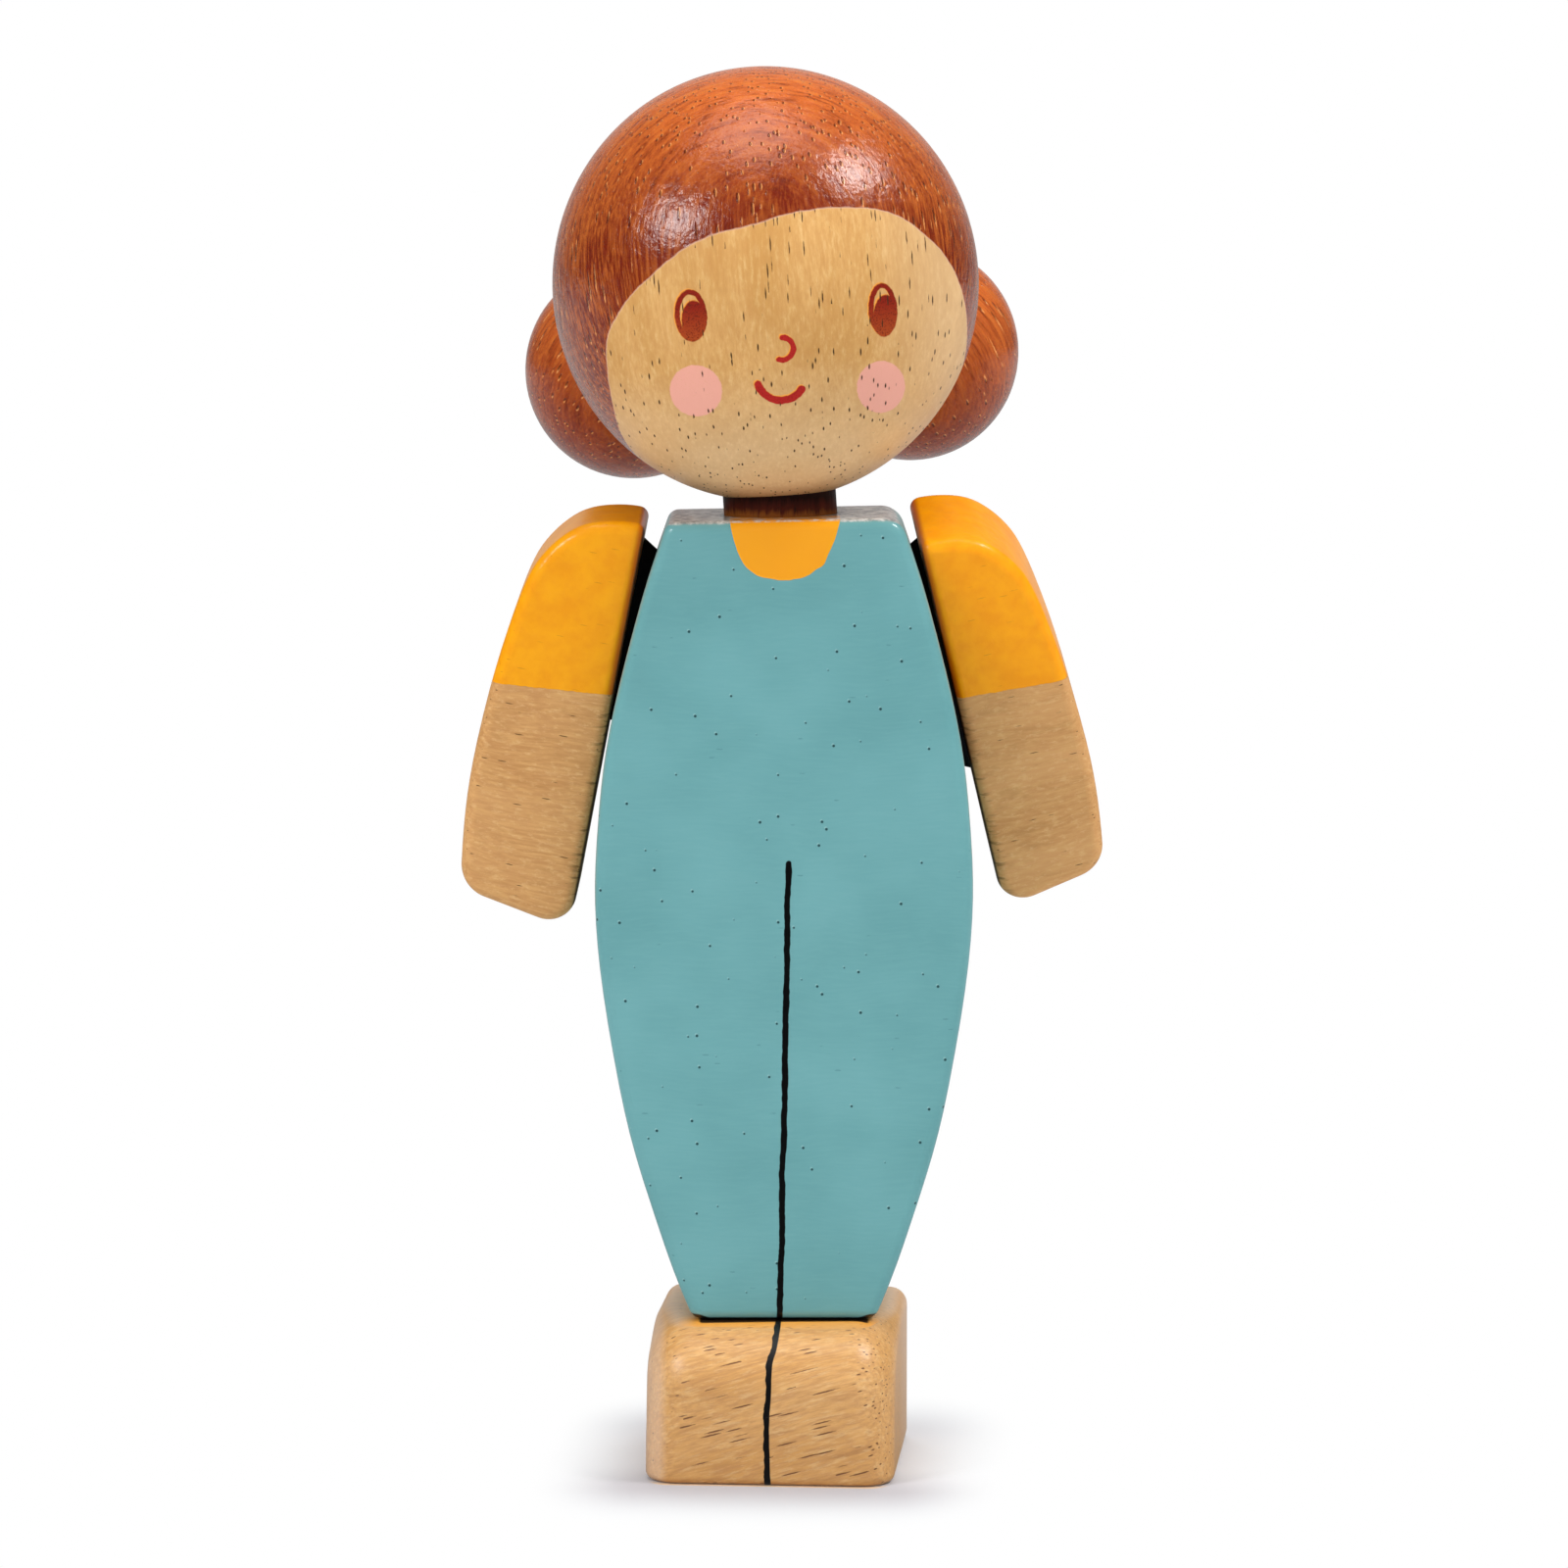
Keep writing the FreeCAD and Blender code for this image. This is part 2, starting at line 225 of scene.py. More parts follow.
wire(result, {"Mask": add(tree, ranging, [gap, 0.03, -0.03])})

# A printed eye: an oval ring, and in it a pupil that leaves a bare crescent at the upper left
eye = {"ring": (0.36, 0, 0.36), "pupilAside": (0.22, 0, -0.45), "pupilHalf": (0.90, 1, 1.48)}
printedEye, given, result = newGroup(
    "printed eye", {"Offset": "Vector", "Half size": "Vector"}, {"Mask": "Float"}
)
tree = printedEye
within = add(tree, vectors, [given["Half size"], eye["ring"]], operation="SUBTRACT")
aside = add(tree, vectors, [given["Offset"], eye["pupilAside"]], operation="SUBTRACT")
outer = ovalMask(tree, given["Offset"], given["Half size"], 1.02, 0.97)
ring = ovalMask(tree, given["Offset"], within, 0.97, 1.02)
pupil = ovalMask(tree, aside, eye["pupilHalf"], 1.03, 0.96)
inked = add(tree, maths, [ring, pupil], operation="MAXIMUM")
wire(result, {"Mask": add(tree, maths, [outer, inked], operation="MULTIPLY")})

# Hair: red-brown stain under gloss lacquer, over the same wood, lighter towards the top partly as painted
# light from above
hair = {
    "pores": {"Pore spacing": 0.38, "Pore length": 5, "Pore size": 0.26, "Pore share": 0.65},
    "poreEdge": (-0.08, 0, 0.12),  # to the side of a pore that catches the light
    "layers": (0.42, 2.9, 0.22),
    "rear": (-11, -3, 0.45, 1), "upper": (0, 0.8, 0.35, 1),
    "aside": (5, 11, 0.3, 0.65), "strong": (-3, 4, 0.75, 0.45),
    "stain": "#741E07",
    "tints": (
        # the first two colours lighten the stain towards the top: random stain tone, and painted light from
        # above
        ("#D2682A", "depth"), ("#DA7E30", "layers rear streaks upper", 0.50, 0.66),
        # the fourth colour strengthens the fibre streaks towards the sides, partly as a painted sheen
        ("#661C06", "layers", 0.49, 0.34, 0.75), ("#D2702A", "fibre aside", 0.44, 0.66),
        ("#EC9C58", "lit", 0, 1, 0.8), ("#571606", "pores strong"),
    ),
    "roughness": (0.20, 0.34),
}
hairStain, given, result = newGroup(
    "hair stain",
    {"Position": "Vector", "Low": "Float", "High": "Float", "Streaks": "Float"},
    {"Color": "Color", "Height": "Float", "Roughness": "Float"},
)
tree = hairStain
position = given["Position"]
x, y, z = add(tree, split, [position], every)
tone, fibre, pores = add(
    tree, grouped, {"Position": position, **hair["pores"]}, every, node_tree=woodFigure
)
lit = add(tree, vectors, [position, hair["poreEdge"]], operation="ADD")
lit = add(tree, grouped, {"Position": lit, **hair["pores"]}, out=2, node_tree=woodFigure)
# lighter towards the top: partly random stain tone, partly painted light from above
depth = add(tree, maths, [y, 0.25, z], operation="MULTIPLY_ADD")
depth = add(tree, maths, [tone, 8, depth], operation="MULTIPLY_ADD")
depth = add(tree, ranging, [depth, given["Low"], given["High"]])
layers = streaks(tree, position, hair["layers"], 5, 0.7)
rear = add(tree, ranging, [y, *hair["rear"]])
upper = add(tree, ranging, [depth, *hair["upper"]])
# the fibre streaks show more towards the sides: the wood's figure, strengthened there as a painted sheen
aside = add(tree, maths, [x], operation="ABSOLUTE")
aside = add(tree, ranging, [aside, *hair["aside"]])
strong = add(tree, ranging, [y, *hair["strong"]])
colour = tint(tree, linear(hair["stain"]), hair["tints"], {
    "depth": depth, "layers": layers, "fibre": fibre, "pores": pores, "lit": lit, "rear": rear,
    "streaks": given["Streaks"], "upper": upper, "aside": aside, "strong": strong,
})
lumps = add(tree, noise, {"Vector": position, "Scale": 1.5, "Detail": 3, "Roughness": 0.55})
height = add(tree, maths, [layers, 0.7, lumps], operation="MULTIPLY_ADD")
height = add(tree, maths, [fibre, 0.4, height], operation="MULTIPLY_ADD")
height = add(tree, maths, [pores, -1.6, height], operation="MULTIPLY_ADD")
rough = add(tree, ranging, [lumps, 0.3, 0.7, *hair["roughness"]])
wire(result, {"Color": colour, "Height": height, "Roughness": rough})
print("groups made")

# Head: a turned ball of pale wood with stained hair and a printed face, all under lacquer
head = {
    "middle": (-1.2995, 0, 83.7653),
    "radius": 15,
    "lean": math.radians(3.75),
    "hairGrain": math.radians(12),
    "faceGrain": math.radians(4),
    "faceFlatter": (1, 0.45, 1),
    "facePores": {"Pore spacing": 0.26, "Pore length": 3},
    "bore": (-8, 2, 0.29, 0.22), "crowd": (-6, 5, 0.27, 0.55),
    "reflectionUnder": (-5, -11, 0, 0.35), "reflectionRight": (7, 12, 0, 0.3),
    "wood": "#CB9855",
    "woodTints": (
        ("#DAA968", "tone", 0.34, 0.66), ("#EBC98C", "speck", 0.50, 0.68, 0.42),
        ("#BD8A50", "speck", 0.47, 0.34, 0.3), ("#C48C4C", "fibre", 0.40, 0.66, 0.5),
        # painted reflection, paler towards the bottom and the right of the head
        ("#E6CDA8", "pale"),
    ),
    "eyes": (((-5.14, 0, -1.33), (1.125, 1, 1.80)), ((7.97, 0, -1.86), (1, 1, 1.86))),
    "eyeInk": "#8C1E0A",
    "eyeTints": (("#A84214", "height", 0.6, -1.5), ("#5A1A08", "grains", 0.50, 0.66, 0.7)),
    "eyeHalo": ("#EE9A3C", (0.07, 0, -0.06)),
    "cheeks": (((-5.18, 0, -6.55), (1.80, 1, 1.80)), ((7.52, 0, -7.20), (1.67, 1, 1.84))),
    "cheekInk": "#EAA594",
    # nose and smile: middle, radius, first and last angle, width
    "strokes": (
        ((0.90, 0, -3.97), 0.78, 84, -108, 0.40),
        ((0.722, 0, -5.87), 1.68, -36.5, -164.5, 0.54),
    ),
    "strokeInk": "#B4201A",
    "strokeTints": (("#8E120E", "grains", 0.50, 0.68, 0.6),),
    "strokeHalo": ("#F2A23F", (0.05, 0, -0.07)),
    "poreInk": "#452B15",
    "faceOut": (0.10294, -0.97941, -0.17365),
    "faceSide": (0.99452, 0.10453, 0),
    "faceUp": (0.01815, -0.17270, 0.98481),
    # degrees off the face's axis, for each angle round it
    "hairline": (
        (-180, 105), (-160, 98), (-142.2, 82.3), (-126.8, 68.9), (-116.8, 61.5), (-107.1, 57.3),
        (-95, 53.4), (-87.7, 49.5), (-76.4, 43.8), (-66.4, 39.4), (-49.5, 34.8), (-32.6, 31),
        (-17.9, 28.9), (4.3, 30.1), (19, 32.6), (34.3, 36.7), (41.2, 39.5), (52.9, 44.3),
        (63.4, 47.9), (75.9, 53.3), (84.1, 56.9), (94.3, 61.4), (102.8, 65.6), (110.5, 71),
        (116.2, 77.4), (130, 88), (155, 98), (180, 105),
    ),
    "hairEdgeHighlight": "#E3B49A",
    # where the stain's lightening towards the top starts and ends, partly painted light from above
    "stain": {"Low": 2.6, "High": 14.8, "Streaks": 1},
}
headMaterial, tree, shader, place = newMaterial(
    "turned wood, stained and printed under gloss lacquer",
    [c * mm for c in head["middle"]], (0, -head["lean"], 0),
)
x, y, z = add(tree, split, [place], every)
# bare wood of the face: soft bands, a mottled speckle, and a painted reflection that pales it towards the
# bottom and the right
# its figure is drawn as if the face were flatter, which cuts the pores longer
grain = add(tree, mapping, {
    "Vector": place, "Rotation": (head["faceGrain"], 0, 0), "Scale": head["faceFlatter"],
})
bore = add(tree, ranging, [z, *head["bore"]])
crowd = add(tree, ranging, [z, *head["crowd"]])
tone, fibre, pores = add(tree, grouped, out=every, node_tree=woodFigure, values={
    "Position": grain, "Pore size": bore, "Pore share": crowd, **head["facePores"],
})
speck = streaks(tree, grain, (3.4, 3.4, 1), 5, 0.7)
# painted reflection: paler towards the bottom and the right of the head
under = add(tree, ranging, [z, *head["reflectionUnder"]])
right = add(tree, ranging, [x, *head["reflectionRight"]])
pale = add(tree, maths, [under, right], operation="MAXIMUM")
wood = tint(tree, linear(head["wood"]), head["woodTints"], {
    "tone": tone, "fibre": fibre, "speck": speck, "pale": pale,
})
# the print, on the front only, with dark open pores through it
flat = add(tree, vectors, [place, (1, 0, 1)], operation="MULTIPLY")
shake = add(tree, noise, {"Vector": place, "Scale": 3, "Detail": 2}, out=1)
shake = add(tree, vectors, [shake, (0.5, 0.5, 0.5)], operation="SUBTRACT")
flat = add(tree, vectors, [shake, (0.14, 0, 0.14), flat], operation="MULTIPLY_ADD")
grains = add(tree, noise, {"Vector": place, "Scale": 9, "Detail": 2})
worn = add(tree, ranging, [grains, 0.25, 0.40, 0.75, 1])
face = wood
for centre, size in head["cheeks"]:
    offset = add(tree, vectors, [flat, centre], operation="SUBTRACT")
    cheek = ovalMask(tree, offset, size, 1.02, 0.98, 0.93)
    face = tint(tree, face, [(head["cheekInk"], "cheek worn")], {"cheek": cheek, "worn": worn})
prints = []
for centre, size in head["eyes"]:
    offset = add(tree, vectors, [flat, centre], operation="SUBTRACT")
    height = add(tree, split, [offset], out=2)
    ink = tint(tree, linear(head["eyeInk"]), head["eyeTints"], {"height": height, "grains": grains})
    prints.append((printedEye, offset, {"Half size": size}, head["eyeHalo"], ink))
ink = tint(tree, linear(head["strokeInk"]), head["strokeTints"], {"grains": grains})
for centre, radius, first, last, width in head["strokes"]:
    offset = add(tree, vectors, [flat, centre], operation="SUBTRACT")
    middle, half = math.radians((first + last) / 2), math.radians((first - last) / 2)
    values = {"Radius": radius, "Middle": middle, "Half": half, "Width": width}
    prints.append((paintedArc, offset, values, head["strokeHalo"], ink))
for shape, offset, values, (halo, shift), ink in prints:
    shifted = add(tree, vectors, [offset, shift], operation="ADD")
    for where, colour in ((shifted, linear(halo)), (offset, ink)):
        mask = add(tree, grouped, {"Offset": where, **values}, node_tree=shape)
        face = add(tree, mixing, {0: mask, 6: face, 7: colour}, **blend)
front = add(tree, maths, [y, 0], operation="LESS_THAN")
face = add(tree, mixing, {0: front, 6: wood, 7: face}, **blend)
face = tint(tree, face, [(head["poreInk"], "pores")], {"pores": pores})
# the hairline, with a pale painted highlight along its edge
away = add(tree, vectors, [place], operation="NORMALIZE")
out, side, up = [
    add(tree, vectors, [away, head[axis]], out=1, operation="DOT_PRODUCT")
    for axis in ("faceOut", "faceSide", "faceUp")
]
out = add(tree, maths, [out], operation="ARCCOSINE")
turn = add(tree, maths, [side, up], operation="ARCTAN2")
turn = add(tree, maths, [turn, 0.5 / math.pi, 0.5], operation="MULTIPLY_ADD")
line = add(tree, curve, [1, turn])
layPoints(line.node.mapping, [(0.5 + a / 360, b / 180) for a, b in head["hairline"]])
line = add(tree, maths, [line, math.pi], operation="MULTIPLY")
past = add(tree, maths, [out, line], operation="SUBTRACT")
past = add(tree, maths, [past, head["radius"]], operation="MULTIPLY")
past = add(tree, maths, [unsteady(tree, place, 1.3, 3), 0.22, past], operation="MULTIPLY_ADD")
stained = add(tree, ranging, [past, -0.025, 0.025])
edge = add(tree, maths, [past], operation="ABSOLUTE")
grain = add(tree, mapping, {"Vector": place, "Rotation": (head["hairGrain"], 0, 0)})
stain, stainHeight, stainRough = add(
    tree, grouped, {"Position": grain, **head["stain"]}, every, node_tree=hairStain
)
colour = add(tree, mixing, {0: stained, 6: face, 7: stain}, **blend)
# a pale painted highlight along the hairline
colour = tint(tree, colour, [(head["hairEdgeHighlight"], "edge", 0.09, 0.03, 0.55)], {"edge": edge})
bare = add(tree, maths, [pores, -0.9, speck], operation="MULTIPLY_ADD")
height = add(tree, mixing, {0: stained, 2: bare, 3: stainHeight})
deep = add(tree, mixing, {0: stained, 2: 0.012 * mm, 3: 0.060 * mm})
bump = add(tree, bumping, {"Height": height, "Distance": deep})
wire(shader, {
    "Base Color": colour,
    "Roughness": add(tree, mixing, {0: stained, 2: 0.42, 3: stainRough}),
    "Normal": bump,
    "Specular IOR Level": 0.15,
    "Coat Weight": add(tree, mixing, {0: stained, 2: 0.14, 3: 0.80}),
    "Coat Roughness": 0.17,
    "Coat Normal": bump,
})
print("head material made")

# Buns: two balls in the same stain, each turned its own way
buns = {"hair_bun_left": 0.55, "hair_bun_right": -0.35}
# where each bun's lightening towards the top starts and ends, partly painted light from above
bunStain = {"Low": -4, "High": 9, "Streaks": 0.35}
bunMaterials = {}
for name, tilt in buns.items():
    low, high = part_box(name)
    bunMaterials[name], tree, shader, place = newMaterial(
        "turned wood, stained under gloss lacquer, " + name, (low + high) / 2, (0.5, tilt, tilt),
    )
    stain, stainHeight, stainRough = add(
        tree, grouped, {"Position": place, **bunStain}, every, node_tree=hairStain
    )
    bump = add(tree, bumping, {"Height": stainHeight, "Distance": 0.036 * mm})
    wire(shader, {
        "Base Color": stain, "Roughness": stainRough, "Normal": bump, "Specular IOR Level": 0.15,
        "Coat Weight": 0.65, "Coat Roughness": 0.18, "Coat Normal": bump,
    })
print("bun materials made")

# Body: satin blue-green paint, a yellow collar on the front and a black painted line
body = {
    "front": -7,
    "pores": {"Pore spacing": 0.6, "Pore length": 2.6, "Pore size": 0.10, "Pore share": 0.3},
    "pitScale": 0.75,
    "pitSize": (0.090, 0.060),
    "pitEdge": (0.05, 0, -0.09),  # to the side of a pit that catches the light
    "paint": "#629DA0",
    "paintTints": (
        ("#6BA6A9", "broad", 0.35, 0.65), ("#84BBBB", "fibre", 0.40, 0.7, 0.10),
        ("#22494D", "pits"), ("#A5D0CE", "lit"), ("#5A9294", "pores"),
    ),
    # the top face's painted reflection, with pale patches, and a painted shadow round the neck
    "topSheenGrey": "#8E9091",
    "topSheenTints": (("#DADBDA", "grimeAndSheen", 0.42, 0.60), ("#211A17", "near", 6.6, 5.4, 0.9)),
    "neck": (-0.24, 0, 67.6),
    # painted shade in the crevice over the foot block
    "seam": "#050A0B",
    "seamShadeTop": (11.26, 11.16),
    "seamShadeCorner": (5.2, 6.1, 0, -0.25),
    "yellow": "#EF9B02",
    "yellowTints": (("#F5A706", "broad", 0.35, 0.7),),
    "collarHalf": 4.6,
    "collarLow": 60,
    "collarTall": 12,
    "collar": (
        (-4.6, 70.5), (-4, 69), (-3.78, 67.61), (-3.68, 67), (-3.41, 65.97), (-3, 64.91),
        (-2.39, 64.13), (-1.71, 63.71), (-1.02, 63.54), (0.05, 63.43), (0.82, 63.51),
        (1.71, 63.78), (2.25, 64.16), (2.75, 64.50), (3.07, 65.22), (3.48, 66.11), (3.75, 67),
        (3.89, 67.54), (4.1, 69), (4.6, 70.5),
    ),
    "black": "#050507",
    "lineTop": 43.55,
    "lineHalf": 0.215,
    "lineSlope": 0.01996,
    "lineFoot": -0.534,
}
bodyMaterial, tree, shader, place = newMaterial(
    "wood under satin blue-green paint, brushed collar and line"
)
x, y, z = add(tree, split, [place], every)
along = add(tree, mapping, {"Vector": place, "Rotation": (0, math.radians(90), 0)})
tone, fibre, pores = add(
    tree, grouped, {"Position": along, **body["pores"]}, every, node_tree=woodFigure
)
broad = add(tree, noise, {"Vector": place, "Scale": 0.12, "Detail": 2})
# sparse pits where the paint sank into the open pores
pits = add(tree, cells, {"Vector": place, "Scale": body["pitScale"]})
pits = add(tree, ranging, [pits, *body["pitSize"]])
lit = add(tree, vectors, [place, body["pitEdge"]], operation="ADD")
lit = add(tree, cells, {"Vector": lit, "Scale": body["pitScale"]})
lit = add(tree, ranging, [lit, *body["pitSize"], 0, 0.4])
lit = add(tree, maths, [lit, pits], operation="SUBTRACT", use_clamp=True)
paint = tint(tree, linear(body["paint"]), body["paintTints"], {
    "broad": broad, "fibre": fibre, "pits": pits, "lit": lit, "pores": pores,
})
# the top face: grey as a painted reflection of the white backdrop, mottled, with a painted shadow of the
# head darkening it round the neck
facing = add(tree, "ShaderNodeNewGeometry", out=1)
facing = add(tree, split, [facing], out=2)
upper = add(tree, maths, [z, 40], operation="GREATER_THAN")
grimeAndSheen = add(tree, noise, {"Vector": place, "Scale": 1.5, "Detail": 4, "Roughness": 0.7})
topSheen = add(tree, maths, [upper, facing], operation="MULTIPLY")
topSheen = add(tree, maths, [grimeAndSheen, 0.25, topSheen], operation="MULTIPLY_ADD")
topSheen = add(tree, ranging, [topSheen, 0.82, 0.98, 0, 0.92])
near = add(tree, vectors, [place, body["neck"]], out=1, operation="DISTANCE")
near = add(tree, maths, [grimeAndSheen, 3, near], operation="MULTIPLY_ADD")
bare = tint(tree, linear(body["topSheenGrey"]), body["topSheenTints"], {"grimeAndSheen": grimeAndSheen, "near": near})
paint = add(tree, mixing, {0: topSheen, 6: paint, 7: bare}, **blend)
# painted shade in the crevice where the body sits on the foot block, a little higher at the corners
seam = add(tree, maths, [x], operation="ABSOLUTE")
seam = add(tree, ranging, [seam, *body["seamShadeCorner"]], interpolation_type="SMOOTHSTEP")
seam = add(tree, maths, [seam, z], operation="ADD")
seam = add(tree, ranging, [seam, *body["seamShadeTop"]])
ahead = add(tree, ranging, [y, -5, -6.6])
paint = tint(tree, paint, [(body["seam"], "seam ahead")], {"seam": seam, "ahead": ahead})
# collar, also on the eased edge above it and, smudged, on the end grain
reach = add(tree, ranging, [x, -body["collarHalf"], body["collarHalf"]])
rim = add(tree, curve, [1, reach])
layPoints(rim.node.mapping, [
    (0.5 + x / body["collarHalf"] / 2, (z - body["collarLow"]) / body["collarTall"])
    for x, z in body["collar"]
])
rim = add(tree, maths, [rim, body["collarTall"], body["collarLow"]], operation="MULTIPLY_ADD")
wobble = unsteady(tree, place, 1.6, 2)
over = add(tree, maths, [z, rim], operation="SUBTRACT")
over = add(tree, maths, [wobble, 0.15, over], operation="MULTIPLY_ADD")
collar = add(tree, ranging, [over, -0.02, 0.02])
ahead = add(tree, ranging, [y, body["front"] + 0.42, body["front"] + 0.30])
above = add(tree, ranging, [z, 67, 67.1])
front = add(tree, ranging, [y, -2.5, -3.5, 0, 0.9])
smudge = add(tree, ranging, [grimeAndSheen, 0.56, 0.46, 0.25, 1])
above = add(tree, maths, [above, front], operation="MULTIPLY")
above = add(tree, maths, [above, smudge], operation="MULTIPLY")
ahead = add(tree, maths, [ahead, above], operation="MAXIMUM")
collar = add(tree, maths, [collar, ahead], operation="MULTIPLY")
yellow = tint(tree, linear(body["yellow"]), body["yellowTints"], {"broad": broad})
colour = add(tree, mixing, {0: collar, 6: paint, 7: yellow}, **blend)
# line
straight = add(tree, maths, [z, body["lineSlope"], body["lineFoot"]], operation="MULTIPLY_ADD")
wander = unsteady(tree, place, 0.5, 3)
straight = add(tree, maths, [wander, 0.3, straight], operation="MULTIPLY_ADD")
aside = add(tree, maths, [x, straight], operation="SUBTRACT")
above = add(tree, maths, [z, body["lineTop"]], operation="SUBTRACT")
above = add(tree, maths, [above, 0], operation="MAXIMUM")
span = add(tree, join, [aside, above, 0])
span = add(tree, vectors, [span], out=1, operation="LENGTH")
span = add(tree, maths, [wobble, 0.12, span], operation="MULTIPLY_ADD")
span = add(tree, maths, [span, body["lineHalf"]], operation="SUBTRACT")
stroke = add(tree, ranging, [span, 0.02, -0.02])
front = add(tree, maths, [y, 0], operation="LESS_THAN")
stroke = add(tree, maths, [stroke, front], operation="MULTIPLY")
colour = tint(tree, colour, [(body["black"], "stroke")], {"stroke": stroke})
lumps = add(tree, noise, {"Vector": place, "Scale": 0.8, "Detail": 4, "Roughness": 0.6})
height = lumps
for relief, rise in ((fibre, 0.12), (pits, -1.2), (stroke, 1.2), (collar, 0.8)):
    height = add(tree, maths, [relief, rise, height], operation="MULTIPLY_ADD")
wire(shader, {
    "Base Color": colour,
    "Roughness": add(tree, ranging, [lumps, 0.3, 0.7, 0.36, 0.50]),
    "Normal": add(tree, bumping, {"Height": height, "Distance": 0.014 * mm}),
    "Specular IOR Level": 0.2,
    "Coat Weight": 0.7,
    "Coat Roughness": 0.20,
})
print("body material made")

# Foot block: clear lacquer over wood whose grain rises to the right, with the line carried on
foot = {
    "grain": math.radians(90 + 15),
    "pores": {"Pore spacing": 0.26, "Pore length": 10, "Pore size": 0.26},
    "poreShare": (7, 8.4, 0.62, 0.03),
    "paleReflectionSides": (8.2, 8.8, 0, 0.22),
    "paleReflectionTop": (10.5, 10.95, 0, 0.28),
    "wood": "#D29B55",
    "tints": (
        ("#DDA864", "tone", 0.34, 0.66), ("#B98350", "fibre", 0.40, 0.66, 0.6),
        ("#A87442", "streak", 0.62, 0.72, 0.45), ("#ECCB92", "speck", 0.52, 0.66, 0.38),
        # the pale colour here is a painted reflection on the sides and the top
        ("#BC8849", "speck", 0.47, 0.34, 0.4), ("#7C5028", "pores"), ("#EBDFD9", "paleReflection"),
        # painted warm light, then painted shade, along the crevice under the body
        ("#EFA53C", "beside level ahead", 1.8, 0.4, 0.9),
        ("#1E130A", "beside level ahead", 0.34, 0.18, 0.97), ("#050507", "stroke"),
    ),
    "bodyHalf": (5.7, 6.85, 20),
    "lineTall": 11,
    "lineWide": 2,
    "line": (
        (0, -1.142), (2.9, -1.242), (4.8, -1.242), (6.1, -1.142), (8.45, -1.03),
        (9.46, -0.752), (11, -0.40),
    ),
}
footMaterial, tree, shader, place = newMaterial("wood under clear satin lacquer, brushed line")
x, y, z = add(tree, split, [place], every)
along = add(tree, mapping, {"Vector": place, "Rotation": (0, foot["grain"], 0)})
outer = add(tree, maths, [x], operation="ABSOLUTE")
share = add(tree, ranging, [outer, *foot["poreShare"]])
tone, fibre, pores = add(tree, grouped, out=every, node_tree=woodFigure, values={
    "Position": along, "Pore share": share, **foot["pores"],
})
# a pale painted reflection on the side faces and on the top beside the body
sides = add(tree, ranging, [outer, *foot["paleReflectionSides"]])
high = add(tree, ranging, [z, *foot["paleReflectionTop"]])
aside = add(tree, ranging, [outer, 6, 7.5])
high = add(tree, maths, [high, aside], operation="MULTIPLY")
paleReflection = add(tree, maths, [sides, high], operation="MAXIMUM")
# under the body: painted shade in the crevice, and painted warm light beside it
beside = beyondBox(tree, place, foot["bodyHalf"])
beside = add(tree, vectors, [beside], out=1, operation="LENGTH")
level = add(tree, maths, [z, 10.7], operation="GREATER_THAN")
ahead = add(tree, ranging, [y, -5, -6.4])
# the line
tall = add(tree, maths, [z, 1 / foot["lineTall"]], operation="MULTIPLY")
straight = add(tree, curve, [1, tall])
layPoints(straight.node.mapping, [
    (z / foot["lineTall"], 1 + x / foot["lineWide"]) for z, x in foot["line"]
])
straight = add(tree, maths, [straight, foot["lineWide"], -foot["lineWide"]], operation="MULTIPLY_ADD")
wobble = unsteady(tree, place, 1.3, 3)
straight = add(tree, maths, [wobble, 0.2, straight], operation="MULTIPLY_ADD")
aside = add(tree, maths, [x, straight], operation="SUBTRACT")
aside = add(tree, maths, [aside], operation="ABSOLUTE")
aside = add(tree, maths, [wobble, 0.14, aside], operation="MULTIPLY_ADD")
stroke = add(tree, ranging, [aside, 0.23, 0.19])
front = add(tree, maths, [y, -5], operation="LESS_THAN")
stroke = add(tree, maths, [stroke, front], operation="MULTIPLY")
height = add(tree, maths, [pores, -1, fibre], operation="MULTIPLY_ADD")
height = add(tree, maths, [stroke, 1.2, height], operation="MULTIPLY_ADD")
wire(shader, {
    "Base Color": tint(tree, linear(foot["wood"]), foot["tints"], {
        "tone": tone, "fibre": fibre, "pores": pores, "paleReflection": paleReflection, "stroke": stroke,
        "streak": streaks(tree, along, (1.6, 1.6, 0.07), 2),
        "speck": streaks(tree, along, (3.4, 3.4, 0.5), 4, 0.75),
        "beside": beside, "level": level, "ahead": ahead,
    }),
    "Roughness": add(tree, ranging, [tone, 0.3, 0.7, 0.38, 0.50]),
    "Normal": add(tree, bumping, {"Height": height, "Distance": 0.014 * mm}),
    "Coat Weight": add(tree, ranging, [stroke, 0, 1, 0.5, 0.1]),
    "Coat Roughness": 0.32,
})
print("foot material made")

